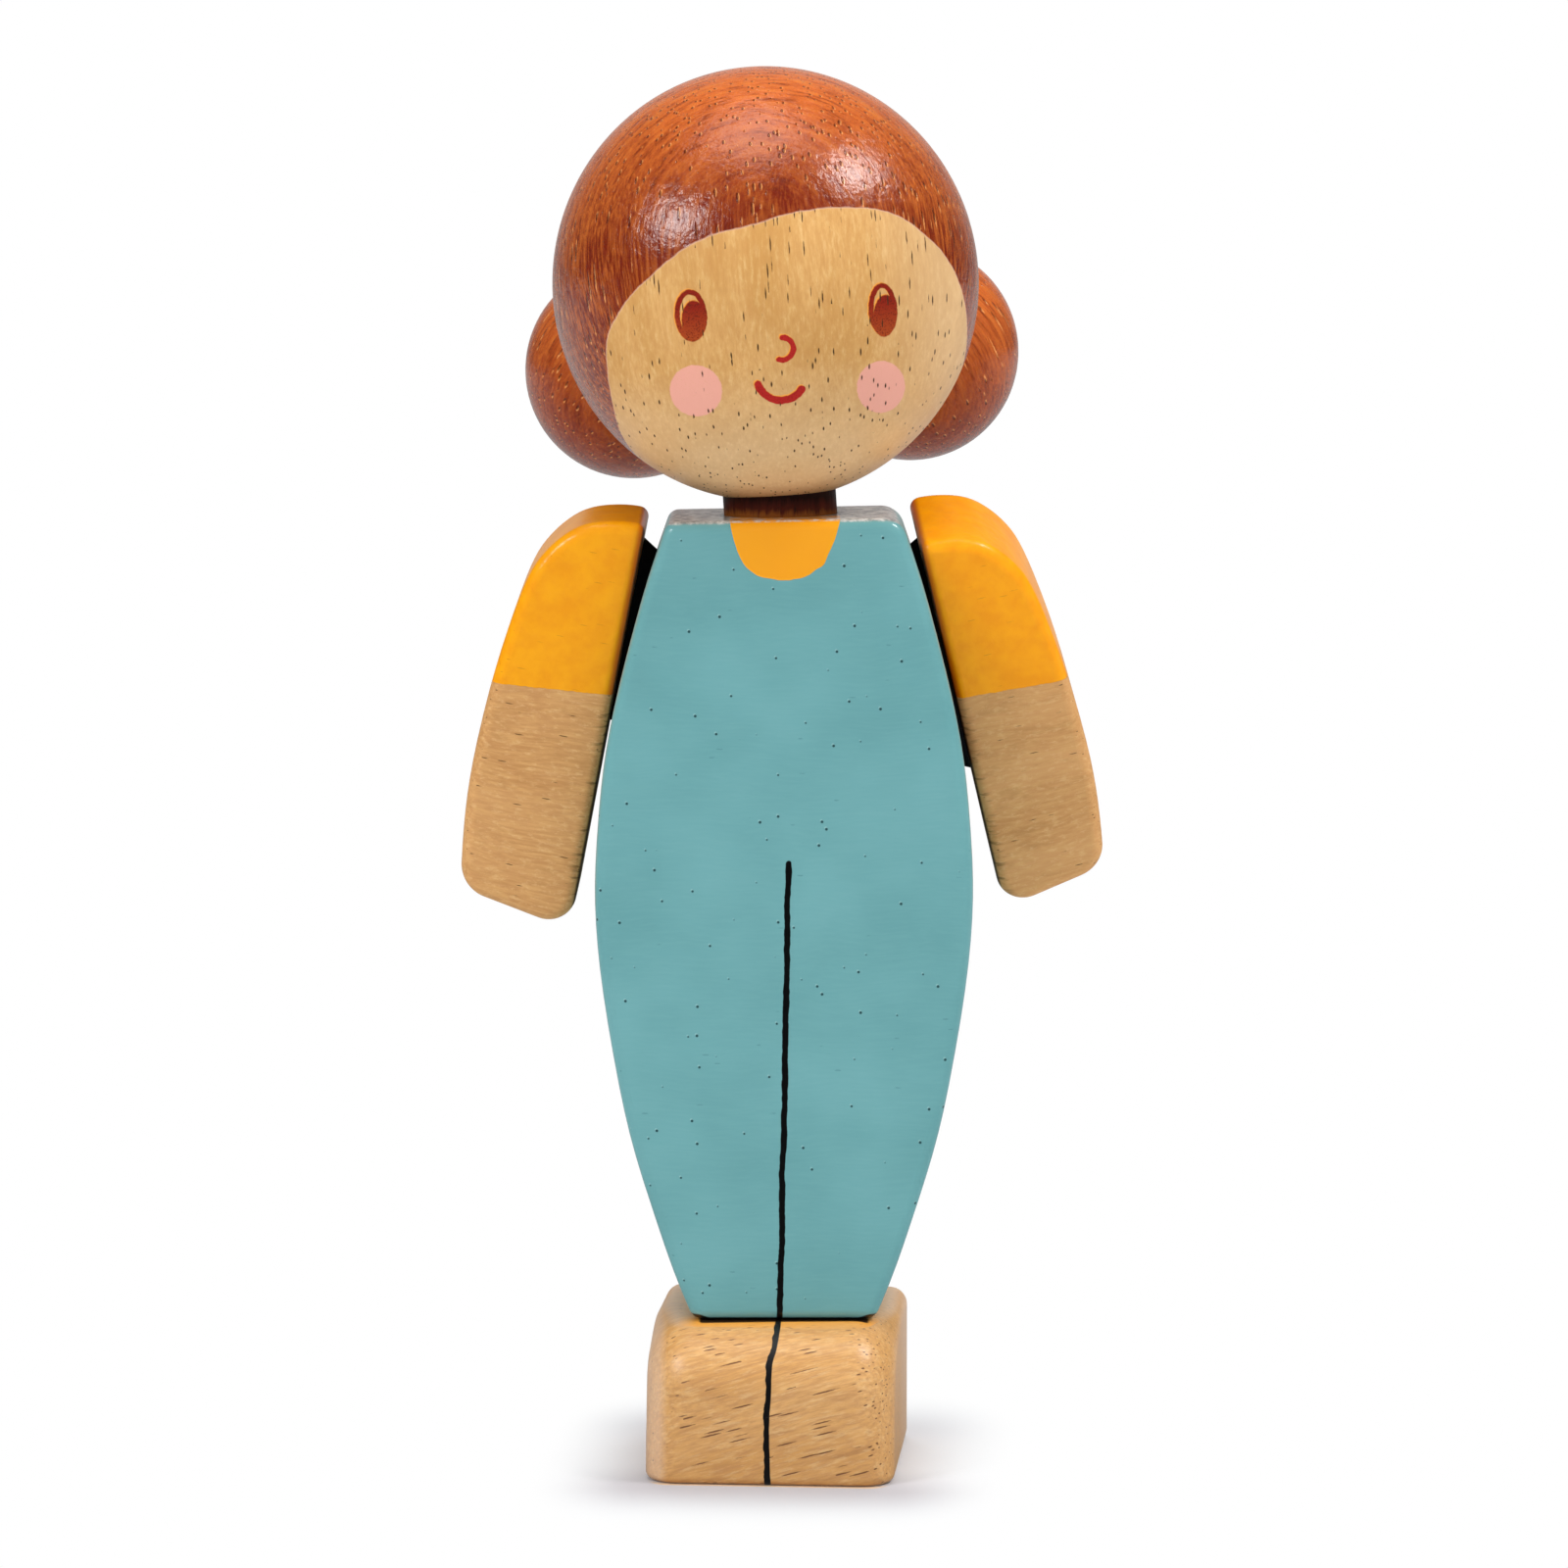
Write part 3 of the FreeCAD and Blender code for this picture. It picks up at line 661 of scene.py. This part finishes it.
# Arms: dipped to the sleeve line in yellow paint, bare wood below
arms = {
    "arm_left": {
        "side": -1, "pivot": (-10.422, 0, 63.05), "swing": 5, "splay": 10.8,
        "sleeve": -7.81, "slope": -0.085, "seed": 3,
        "wood": ("#C08B54", "#CC9861"), "paint": ("#EE9802", "#F5A404"),
    },
    # the right arm's wood and paint are a little brighter than the left's: a painted difference in light
    "arm_right": {
        "side": 1, "pivot": (10.079, 0, 63.05), "swing": 20, "splay": 13.3,
        "sleeve": -7.65, "slope": -0.0675, "seed": 41,
        "wood": ("#C79057", "#D39D64"), "paint": ("#F79A02", "#FEA604"),
    },
}
armWood = {
    "pores": {"Pore spacing": 0.26, "Pore length": 2.2, "Pore size": 0.17, "Pore share": 0.3},
    "tints": (
        ("#D8A76A", "fibre", 0.40, 0.66, 0.7), ("#B27F48", "patch", 0.52, 0.66, 0.38),
        ("#E6BE86", "speck", 0.52, 0.68, 0.4), ("#71512F", "pores"),
        # painted shade: darker brown streaks along the front of the inner edge
        ("#5E3E20", "sawn edge rim", 0.56, 0.64, 0.6),
    ),
    # the second colour darkens the sleeve towards the inner edge, a painted shade
    "paintTints": (("#A8620C", "pores", 0, 1, 0.35), ("#DA5E08", "outward", 0.60, 0.30, 0.8)),
    # near black along the front of the inner face, painted shade of the gap by the body
    "innerShadeTints": (("#1E0F08", "outward rim", 0.22, 0.10, 0.85),),
}
for name, arm in arms.items():
    turn = (math.radians(arm["swing"]), math.radians(-arm["side"] * arm["splay"]), 0)
    arm["material"], tree, shader, place = newMaterial(
        "wood dipped in yellow paint under lacquer, " + name, [c * mm for c in arm["pivot"]], turn,
    )
    x, y, z = add(tree, split, [place], every)
    along = add(tree, mapping, {
        "Vector": place, "Location": [arm["seed"]] * 3, "Rotation": (0, math.radians(90), 0),
    })
    tone, fibre, pores = add(
        tree, grouped, {"Position": along, **armWood["pores"]}, every, node_tree=woodFigure
    )
    outward = add(tree, maths, [x], operation="ABSOLUTE")
    lumps = add(tree, noise, {"Vector": place, "Scale": 0.75, "Detail": 4, "Roughness": 0.6})
    # masks for the painted shade of the gap by the body: the front rim and the inner edge
    rim = add(tree, ranging, [y, -2.9, -3.7])
    edge = add(tree, ranging, [outward, 1.1, 0.3])
    patterns = {
        "tone": tone, "fibre": fibre, "pores": pores, "outward": outward, "lumps": lumps,
        "patch": streaks(tree, along, (0.9, 0.9, 0.3), 4, 0.7),
        "speck": streaks(tree, along, (3.2, 3.2, 1.4), 4, 0.7),
        "sawn": streaks(tree, place, (0.7, 0.5, 3.4), 2),
        "edge": edge, "rim": rim,
    }
    pale, deep = arm["wood"]
    wood = tint(tree, linear(pale), [(deep, "tone", 0.36, 0.64), *armWood["tints"]], patterns)
    pale, deep = arm["paint"]
    yellow = tint(tree, linear(pale), [(deep, "lumps", 0.35, 0.65), *armWood["paintTints"]], patterns)
    line = add(tree, maths, [outward, arm["slope"], arm["sleeve"]], operation="MULTIPLY_ADD")
    line = add(tree, maths, [unsteady(tree, place, 1.1, 3), 0.25, line], operation="MULTIPLY_ADD")
    over = add(tree, maths, [z, line], operation="SUBTRACT")
    sleeve = add(tree, ranging, [over, -0.03, 0.03])
    colour = add(tree, mixing, {0: sleeve, 6: wood, 7: yellow}, **blend)
    bare = add(tree, maths, [pores, -1, fibre], operation="MULTIPLY_ADD")
    thick = add(tree, maths, [lumps, 1.6, 0.6], operation="MULTIPLY_ADD")
    bump = add(tree, bumping, {
        "Height": add(tree, mixing, {0: sleeve, 2: bare, 3: thick}),
        "Distance": add(tree, mixing, {0: sleeve, 2: 0.018 * mm, 3: 0.045 * mm}),
    })
    wire(shader, {
        "Base Color": tint(tree, colour, armWood["innerShadeTints"], patterns),
        "Roughness": add(tree, mixing, {0: sleeve, 2: 0.50, 3: 0.34}),
        "Normal": bump,
        "Specular IOR Level": 0.15,
        "Coat Weight": add(tree, mixing, {0: sleeve, 2: 0.06, 3: 0.35}),
        "Coat Roughness": 0.20,
        "Coat Normal": bump,
    })
print("arm materials made")

# Dowels: the neck darkened all over as painted shade under the head, the glued ones bare pale beech
dowels = {
    "neck": {
        "name": "turned dowel, dark stain under lacquer",
        "pores": {"Pore spacing": 0.4, "Pore length": 2, "Pore size": 0.18, "Pore share": 0.5},
        # dark as painted shade under the head
        "wood": "#3C1008",
        "tints": (
            ("#5A1E0A", "tone", 0.34, 0.66), ("#2A1710", "pores"),
            # a painted shadow under the chin at the top, a painted warm glow at the foot
            ("#120604", "level", 68.9, 69.5, 0.8), ("#8E5216", "level", 68.7, 68.3, 0.8),
        ),
        "roughness": (0.42, 0.58), "fibreDeep": 0.015, "specular": 0.15,
    },
    "glued": {
        "name": "turned beech, unfinished",
        "pores": {"Pore spacing": 0.3, "Pore length": 1.6, "Pore size": 0.16, "Pore share": 0.5},
        "wood": "#C99A66",
        "tints": (("#DDB685", "tone", 0.34, 0.66), ("#8A6038", "pores")),
        "roughness": (0.55, 0.75), "fibreDeep": 0.02, "specular": 0.5,
    },
}
for dowel in dowels.values():
    dowel["material"], tree, shader, place = newMaterial(dowel["name"])
    tone, fibre, pores = add(
        tree, grouped, {"Position": place, **dowel["pores"]}, every, node_tree=woodFigure
    )
    level = add(tree, split, [place], out=2)
    level = add(tree, maths, [fibre, 1.2, level], operation="MULTIPLY_ADD")
    wire(shader, {
        "Base Color": tint(tree, linear(dowel["wood"]), dowel["tints"], {
            "tone": tone, "pores": pores, "level": level,
        }),
        "Roughness": add(tree, ranging, [fibre, 0.3, 0.7, *dowel["roughness"]]),
        "Normal": add(tree, bumping, {"Height": fibre, "Distance": dowel["fibreDeep"] * mm}),
        "Specular IOR Level": dowel["specular"],
    })

# Washers: moulded black rubber with a fine mould grain
rubber = {"colour": "#0C0C0E", "tints": (("#1A1A1C", "grit", 0.55, 0.75, 0.4),)}
rubberMaterial, tree, shader, place = newMaterial("moulded black rubber")
grit = add(tree, noise, {"Vector": place, "Scale": 7, "Detail": 3, "Roughness": 0.7})
wire(shader, {
    "Base Color": tint(tree, linear(rubber["colour"]), rubber["tints"], {"grit": grit}),
    "Roughness": add(tree, ranging, [grit, 0.3, 0.7, 0.70, 0.85]),
    "Normal": add(tree, bumping, {"Height": grit, "Distance": 0.02 * mm}),
    "Specular IOR Level": 0.06,
})

# Cord: white elastic with a woven cover, as two sets of slanting ridges
cord = {"colour": "#B9B5AB", "tints": (("#ECE9E1", "weave"),), "slant": math.radians(38)}
cordMaterial, tree, shader, place = newMaterial("woven elastic cord")
waves = []
for slant in (cord["slant"], -cord["slant"]):
    turned = add(tree, mapping, {"Vector": place, "Rotation": (slant, 0, slant)})
    waves.append(add(tree, "ShaderNodeTexWave", {"Vector": turned, "Scale": 0.9, "Distortion": 0.4}, out=1))
weave = add(tree, maths, waves, operation="MAXIMUM")
wire(shader, {
    "Base Color": tint(tree, linear(cord["colour"]), cord["tints"], {"weave": weave}),
    "Roughness": 0.85,
    "Normal": add(tree, bumping, {"Height": weave, "Distance": 0.05 * mm}),
})
print("small materials made")

# Foot block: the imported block's size, with sides that round over more toward the toe
block = {
    "half": (8.8, 9, 5.5), "middle": (0, -2, 5.5), "toe": 4.6, "heel": 1, "sole": 0.6,
    "side": 1.3, "more": 2.2, "from": 1, "fade": 8, "low": 0.45,
    "turn": math.radians(-4.5), "shift": -0.3, "steps": 44,
}


def meet(a, b, radius):
    # the depth under two faces that meet in a rounded edge
    return min(max(a, b), -radius) + math.hypot(max(a + radius, 0), max(b + radius, 0))


def ease(value):
    value = min(max(value, 0), 1)
    return value * value * (3 - 2 * value)


def blockDepth(x, y, z):
    half = block["half"]
    upper = meet(-y - half[1], z - half[2], block["toe"])
    upper = meet(upper, y - half[1], block["heel"])
    more = block["more"] * ease((block["from"] - y) / block["fade"])
    radius = block["side"] + more * (block["low"] + 0.55 * ease((z + half[2]) / block["fade"]))
    upper = meet(upper, abs(x) - half[0], radius)
    return meet(upper, -z - half[2], block["sole"])


def blockPoint(corner):
    # out from the middle until the surface, with the corners of the grid closer at the edges
    ray = [2 * c / block["steps"] - 1 for c in corner]
    ray = [h * c * (1.5 - 0.5 * c * c) for h, c in zip(block["half"], ray)]
    near, far = 0.5, 1.02
    for step in range(18):
        trial = (near + far) / 2
        if blockDepth(*[trial * c for c in ray]) < 0:
            near = trial
        else:
            far = trial
    x, y, z = [near * c + m for c, m in zip(ray, block["middle"])]
    cosine, sine = math.cos(block["turn"]), math.sin(block["turn"])
    turned = (x * cosine - y * sine + block["shift"], x * sine + y * cosine, z)
    return [c * mm for c in turned]


def addPiece(name, mesh, material, stands):
    fixed = bmesh.new()
    fixed.from_mesh(mesh)
    bmesh.ops.recalc_face_normals(fixed, faces=fixed.faces)
    fixed.to_mesh(mesh)
    fixed.free()
    mesh.shade_smooth()
    mesh.materials.clear()
    mesh.materials.append(material)
    piece = newObject(name, mesh)
    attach(piece, "torso")
    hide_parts(stands)


steps = block["steps"]
numbers = {}
points = []
faces = []
for axis, side, i, j in itertools.product(range(3), (0, steps), range(steps), range(steps)):
    face = []
    for corner in ([i, j], [i + 1, j], [i + 1, j + 1], [i, j + 1]):
        corner.insert(axis, side)
        corner = tuple(corner)
        if corner not in numbers:
            numbers[corner] = len(points)
            points.append(blockPoint(corner))
        face.append(numbers[corner])
    faces.append(face)
mesh = bpy.data.meshes.new("foot_block_sanded")
mesh.from_pydata(points, [], faces)
addPiece("foot_block_sanded", mesh, footMaterial, "foot_block")
print("foot block made")

# Shoulder washers in black rubber, drawn to fill each wedge between arm and body down to where they nearly
# meet: the washer is real, the part below it is a dark piece standing in for the shade in the gap
washersAndGapShade = {
    "shoulder_washer_left": {"arm": "arm_left", "Drop": 3.7 * mm, "Tall": 6.6 * mm},
    "shoulder_washer_right": {"arm": "arm_right", "Drop": 5.5 * mm, "Tall": 8.4 * mm},
}
washerAndGapShade = {
    "Around": 72, "Wide": 2.9 * mm, "Free": 0.012 * mm, "Bevel": 0.02 * mm, "Sunk": 0.3 * mm,
    "Taper": 0.8, "Far": 50 * mm, "sharp": math.radians(50),
}
washerAndGapShadeShape, given, result = newGroup(
    "shoulder washer and gap shade",
    {
        "Body": "Object", "Pivot": "Vector", "Down": "Vector", "Inward": "Vector", "Around": "Int",
        "Drop": "Float", "Tall": "Float", "Wide": "Float", "Free": "Float", "Bevel": "Float",
        "Sunk": "Float", "Taper": "Float", "Far": "Float", "Rubber": "Material",
    },
    {"Geometry": "Geometry"},
    "GeometryNodeTree",
)
tree = washerAndGapShadeShape
# three rings: the face beside the arm, its bevelled rim, and the end sunk in the body
rings = add(tree, "GeometryNodeMeshCylinder", {
    "Vertices": given["Around"], "Side Segments": 2, "Radius": 1, "Depth": 2,
})
x, y, z = add(tree, split, [add(tree, "GeometryNodeInputPosition")], every)
middle = add(tree, vectors, {0: given["Down"], "Scale": given["Drop"]}, operation="SCALE")
middle = add(tree, vectors, [given["Pivot"], middle], operation="ADD")
tall = add(tree, maths, [x, given["Tall"]], operation="MULTIPLY")
tall = add(tree, vectors, {0: given["Down"], "Scale": tall}, operation="SCALE")
wide = add(tree, maths, [y, given["Wide"]], operation="MULTIPLY")
wide = add(tree, join, [0, wide, 0])
out = add(tree, vectors, [tall, wide], operation="ADD")
reach = add(tree, vectors, [out], out=1, operation="LENGTH")
rim = add(tree, vectors, [middle, out], operation="ADD")
side = add(tree, "GeometryNodeObjectInfo", {"Object": given["Body"]}, out="Geometry")
deep = add(tree, "GeometryNodeRaycast", out="Hit Distance", values={
    "Target Geometry": side, "Source Position": rim, "Ray Direction": given["Inward"],
    "Ray Length": given["Far"],
})
bevel = add(tree, maths, [deep, 3], operation="DIVIDE")
bevel = add(tree, maths, [bevel, given["Bevel"]], operation="MINIMUM")
start = add(tree, maths, [given["Free"], bevel], operation="ADD")
wedge = add(tree, maths, [deep, start], operation="SUBTRACT")
wedge = add(tree, maths, [wedge, 0], operation="MAXIMUM")
wedge = add(tree, maths, [wedge, given["Taper"]], operation="MULTIPLY")
narrow = add(tree, maths, [wedge, reach], operation="DIVIDE")
narrow = add(tree, maths, [1, narrow], operation="SUBTRACT")
eased = add(tree, maths, [bevel, reach], operation="DIVIDE")
eased = add(tree, maths, [1, eased], operation="SUBTRACT")
end = add(tree, maths, [deep, given["Sunk"]], operation="ADD")
nearest = add(tree, maths, [z, -0.5], operation="LESS_THAN")
farthest = add(tree, maths, [z, 0.5], operation="GREATER_THAN")
share = add(tree, "GeometryNodeSwitch", [nearest, 1, eased], input_type="FLOAT")
share = add(tree, "GeometryNodeSwitch", [farthest, share, narrow], input_type="FLOAT")
depth = add(tree, "GeometryNodeSwitch", [nearest, start, given["Free"]], input_type="FLOAT")
depth = add(tree, "GeometryNodeSwitch", [farthest, depth, end], input_type="FLOAT")
out = add(tree, vectors, {0: out, "Scale": share}, operation="SCALE")
depth = add(tree, vectors, {0: given["Inward"], "Scale": depth}, operation="SCALE")
place = add(tree, vectors, [middle, out], operation="ADD")
place = add(tree, vectors, [place, depth], operation="ADD")
shaped = add(tree, "GeometryNodeSetPosition", {"Geometry": rings, "Position": place})
shaped = add(tree, "GeometryNodeRealizeInstances", [shaped])
shaped = add(tree, "GeometryNodeSetMaterial", {"Geometry": shaped, "Material": given["Rubber"]})
wire(result, {"Geometry": shaped})
for name, shape in washersAndGapShade.items():
    arm = arms[shape["arm"]]
    splay = math.radians(arm["splay"])
    values = {
        **washerAndGapShade, **shape, "Body": nodes["body_plank"], "Rubber": rubberMaterial,
        "Pivot": [c * mm for c in arm["pivot"]],
        "Down": (arm["side"] * math.sin(splay), 0.0, -math.cos(splay)),
        "Inward": (-arm["side"] * math.cos(splay), 0.0, -math.sin(splay)),
    }
    blank = newObject(name, bpy.data.meshes.new(name))
    maker = blank.modifiers.new("washerAndGapShade", "NODES")
    maker.node_group = washerAndGapShadeShape
    for socket in washerAndGapShadeShape.interface.items_tree:
        if socket.in_out == "INPUT":
            maker[socket.identifier] = values[socket.name]
    graph = bpy.context.evaluated_depsgraph_get()
    mesh = bpy.data.meshes.new_from_object(blank.evaluated_get(graph))
    bpy.data.objects.remove(blank)
    mesh.name = name + "_pad"
    addPiece(name + "_pad", mesh, rubberMaterial, name)
    mesh.set_sharp_from_angle(angle=washerAndGapShade["sharp"])
print("pads made")

# Finishes of the imported pieces, each listed with a slot name that the script does not use
finishes = {
    "body_plank": (bodyMaterial, "lacquered_body"),
    "foot_block": (footMaterial, "lacquered_foot"),
    "neck_dowel": (dowels["neck"]["material"], "neck_wood"),
    "head_ball": (headMaterial, "lacquered_head"),
    "shoulder_cord": (cordMaterial, "elastic_cord"),
    **{name: (material, "lacquered_hair") for name, material in bunMaterials.items()},
    **{name: (arm["material"], "lacquered_arm") for name, arm in arms.items()},
    **{name: (rubberMaterial, "black_rubber") for name in washersAndGapShade},
}
for name, node in nodes.items():
    material, slot = finishes.get(name, (dowels["glued"]["material"], "dowel_wood"))
    node.data.materials.clear()
    node.data.materials.append(material)
print("finishes given")

# Floor: white paper that keeps the doll's shadow and fades to plain white round it
floor = {
    "half": 2,
    "middle": (-0.00046, -0.002, 0),
    "turn": math.radians(-4.5),
    "block": (8.6 * mm, 9 * mm, 1),
    "reach": (8.5 * mm, 14 * mm, 1),
    "glowBlock": (7.05 * mm, 7.6 * mm, 1),
    "shade": (0, 14 * mm, 1, 0),
    "facing": (-2 * mm, -11 * mm, 0.25, 1),
    "mirror": (-0.03, 0.05, 0.05, 0.5),
    "paper": "#DCDFE4",
    "tints": (("#B7B5BA", "shade facing"), ("#FFC23C", "glow toe", 1.58 * mm, 1.45 * mm, 0.7)),
}
corners = [(-1, -1, 0), (1, -1, 0), (1, 1, 0), (-1, 1, 0)]
mesh = bpy.data.meshes.new("floor")
mesh.from_pydata([[c * floor["half"] for c in corner] for corner in corners], [], [(0, 1, 2, 3)])
sheet = newObject("floor", mesh)
floorMaterial, tree, shader, place = newMaterial(
    "white paper backdrop", floor["middle"], (0, 0, floor["turn"]), 1
)
tree.nodes.remove(shader)
y = add(tree, split, [place], out=1)
reach = beyondBox(tree, place, floor["block"])
away = ovalMask(tree, reach, floor["reach"], 0, 1)
away.node.interpolation_type = "SMOOTHSTEP"
reach = add(tree, vectors, [reach], out=1, operation="LENGTH")
shade = add(tree, ranging, [reach, *floor["shade"]], interpolation_type="SMOOTHSTEP")
facing = add(tree, ranging, [y, *floor["facing"]], interpolation_type="SMOOTHSTEP")
# yellow light off the painted toe
glow = add(tree, vectors, [beyondBox(tree, place, floor["glowBlock"])], out=1, operation="LENGTH")
toe = add(tree, ranging, [y, -8 * mm, -9.5 * mm])
paper = tint(tree, linear(floor["paper"]), floor["tints"], {
    "shade": shade, "facing": facing, "glow": glow, "toe": toe,
})
paper = add(tree, "ShaderNodeBsdfDiffuse", [paper])
seen = add(tree, "ShaderNodeLightPath").node.outputs
white = add(tree, "ShaderNodeEmission", [(1, 1, 1, 1), 1])
away = add(tree, maths, [away, seen["Is Camera Ray"]], operation="MULTIPLY")
surface = add(tree, "ShaderNodeMixShader", [away, paper, white])
mirror = add(tree, ranging, [y, *floor["mirror"]])
mirror = add(tree, "ShaderNodeEmission", [(1, 1, 1, 1), mirror])
surface = add(tree, "ShaderNodeMixShader", [seen["Is Glossy Ray"], surface, mirror])
wire(tree.nodes["Material Output"], {"Surface": surface})
mesh.materials.append(floorMaterial)

# World: white to the camera, dim in reflections, with a soft fill that is strongest at the front right
studio = {
    "mirror": (0.82, 0.99, 0.05, 0.5), "away": (-0.45, 0.9, 0), "fill": (-1, 0.3, 1.02, 0.34),
}
world = bpy.data.worlds.new("studio")
bpy.context.scene.world = world
world.use_nodes = True
tree = world.node_tree
seen = add(tree, "ShaderNodeLightPath").node.outputs
toward = add(tree, "ShaderNodeTexCoord", out=0)
behind = add(tree, split, [toward], out=1)
mirror = add(tree, ranging, [behind, *studio["mirror"]])
direct = add(tree, maths, [seen["Is Camera Ray"], seen["Is Transmission Ray"]], operation="MAXIMUM")
aslant = add(tree, vectors, [toward, studio["away"]], out=1, operation="DOT_PRODUCT")
fill = add(tree, ranging, [aslant, *studio["fill"]])
level = add(tree, maths, [seen["Is Diffuse Ray"], fill, direct], operation="MULTIPLY_ADD")
level = add(tree, maths, [seen["Is Glossy Ray"], mirror, level], operation="MULTIPLY_ADD")
wire(tree.nodes["Background"], {"Color": (1, 1, 1, 1), "Strength": level})

# Lamps: soft boxes at the places that the highlights on the head show
lampAway = 0.6
lamps = {
    "key": {"toward": (-0.70, -0.50, 0.50), "size": 0.17, "power": 1.4, "colour": (1, 0.98, 0.97)},
    "right": {"toward": (0.63, -0.14, 0.77), "size": 0.15, "power": 1.7, "colour": (1, 0.98, 0.96)},
    "overhead": {"toward": (-0.07, -0.07, 0.99), "size": 0.40, "power": 1.3, "colour": (1, 0.97, 0.95)},
    "back": {"toward": (0.10, 0.80, 0.60), "size": 0.60, "power": 2, "colour": (1, 0.99, 0.98)},
}
aim = [c * mm for c in head["middle"]]
for name, lamp in lamps.items():
    data = bpy.data.lights.new(name, "AREA")
    data.shape = "SQUARE"
    data.size = lamp["size"]
    data.energy = lamp["power"]
    data.color = lamp["colour"]
    light = newObject(name, data)
    light.visible_glossy = name != "back"
    length = math.hypot(*lamp["toward"])
    unit = [c / length for c in lamp["toward"]]
    light.location = [a + lampAway * c for a, c in zip(aim, unit)]
    light.rotation_euler = (math.acos(unit[2]), 0, math.atan2(unit[1], unit[0]) + math.radians(90))
print("stage lit")

# Camera, fitted to the photograph
view = {"place": (0, -0.440, 0.09886), "pitch": 0.1143, "lens": 143.145, "sensor": 36, "near": 0.01}
camera = newObject("camera", bpy.data.cameras.new("camera"))
bpy.context.scene.camera = camera
camera.location = view["place"]
camera.rotation_euler = (math.radians(90) - view["pitch"], 0, 0)
camera.data.lens = view["lens"]
camera.data.sensor_width = view["sensor"]
camera.data.clip_start = view["near"]
bpy.context.scene.view_settings.view_transform = "Standard"
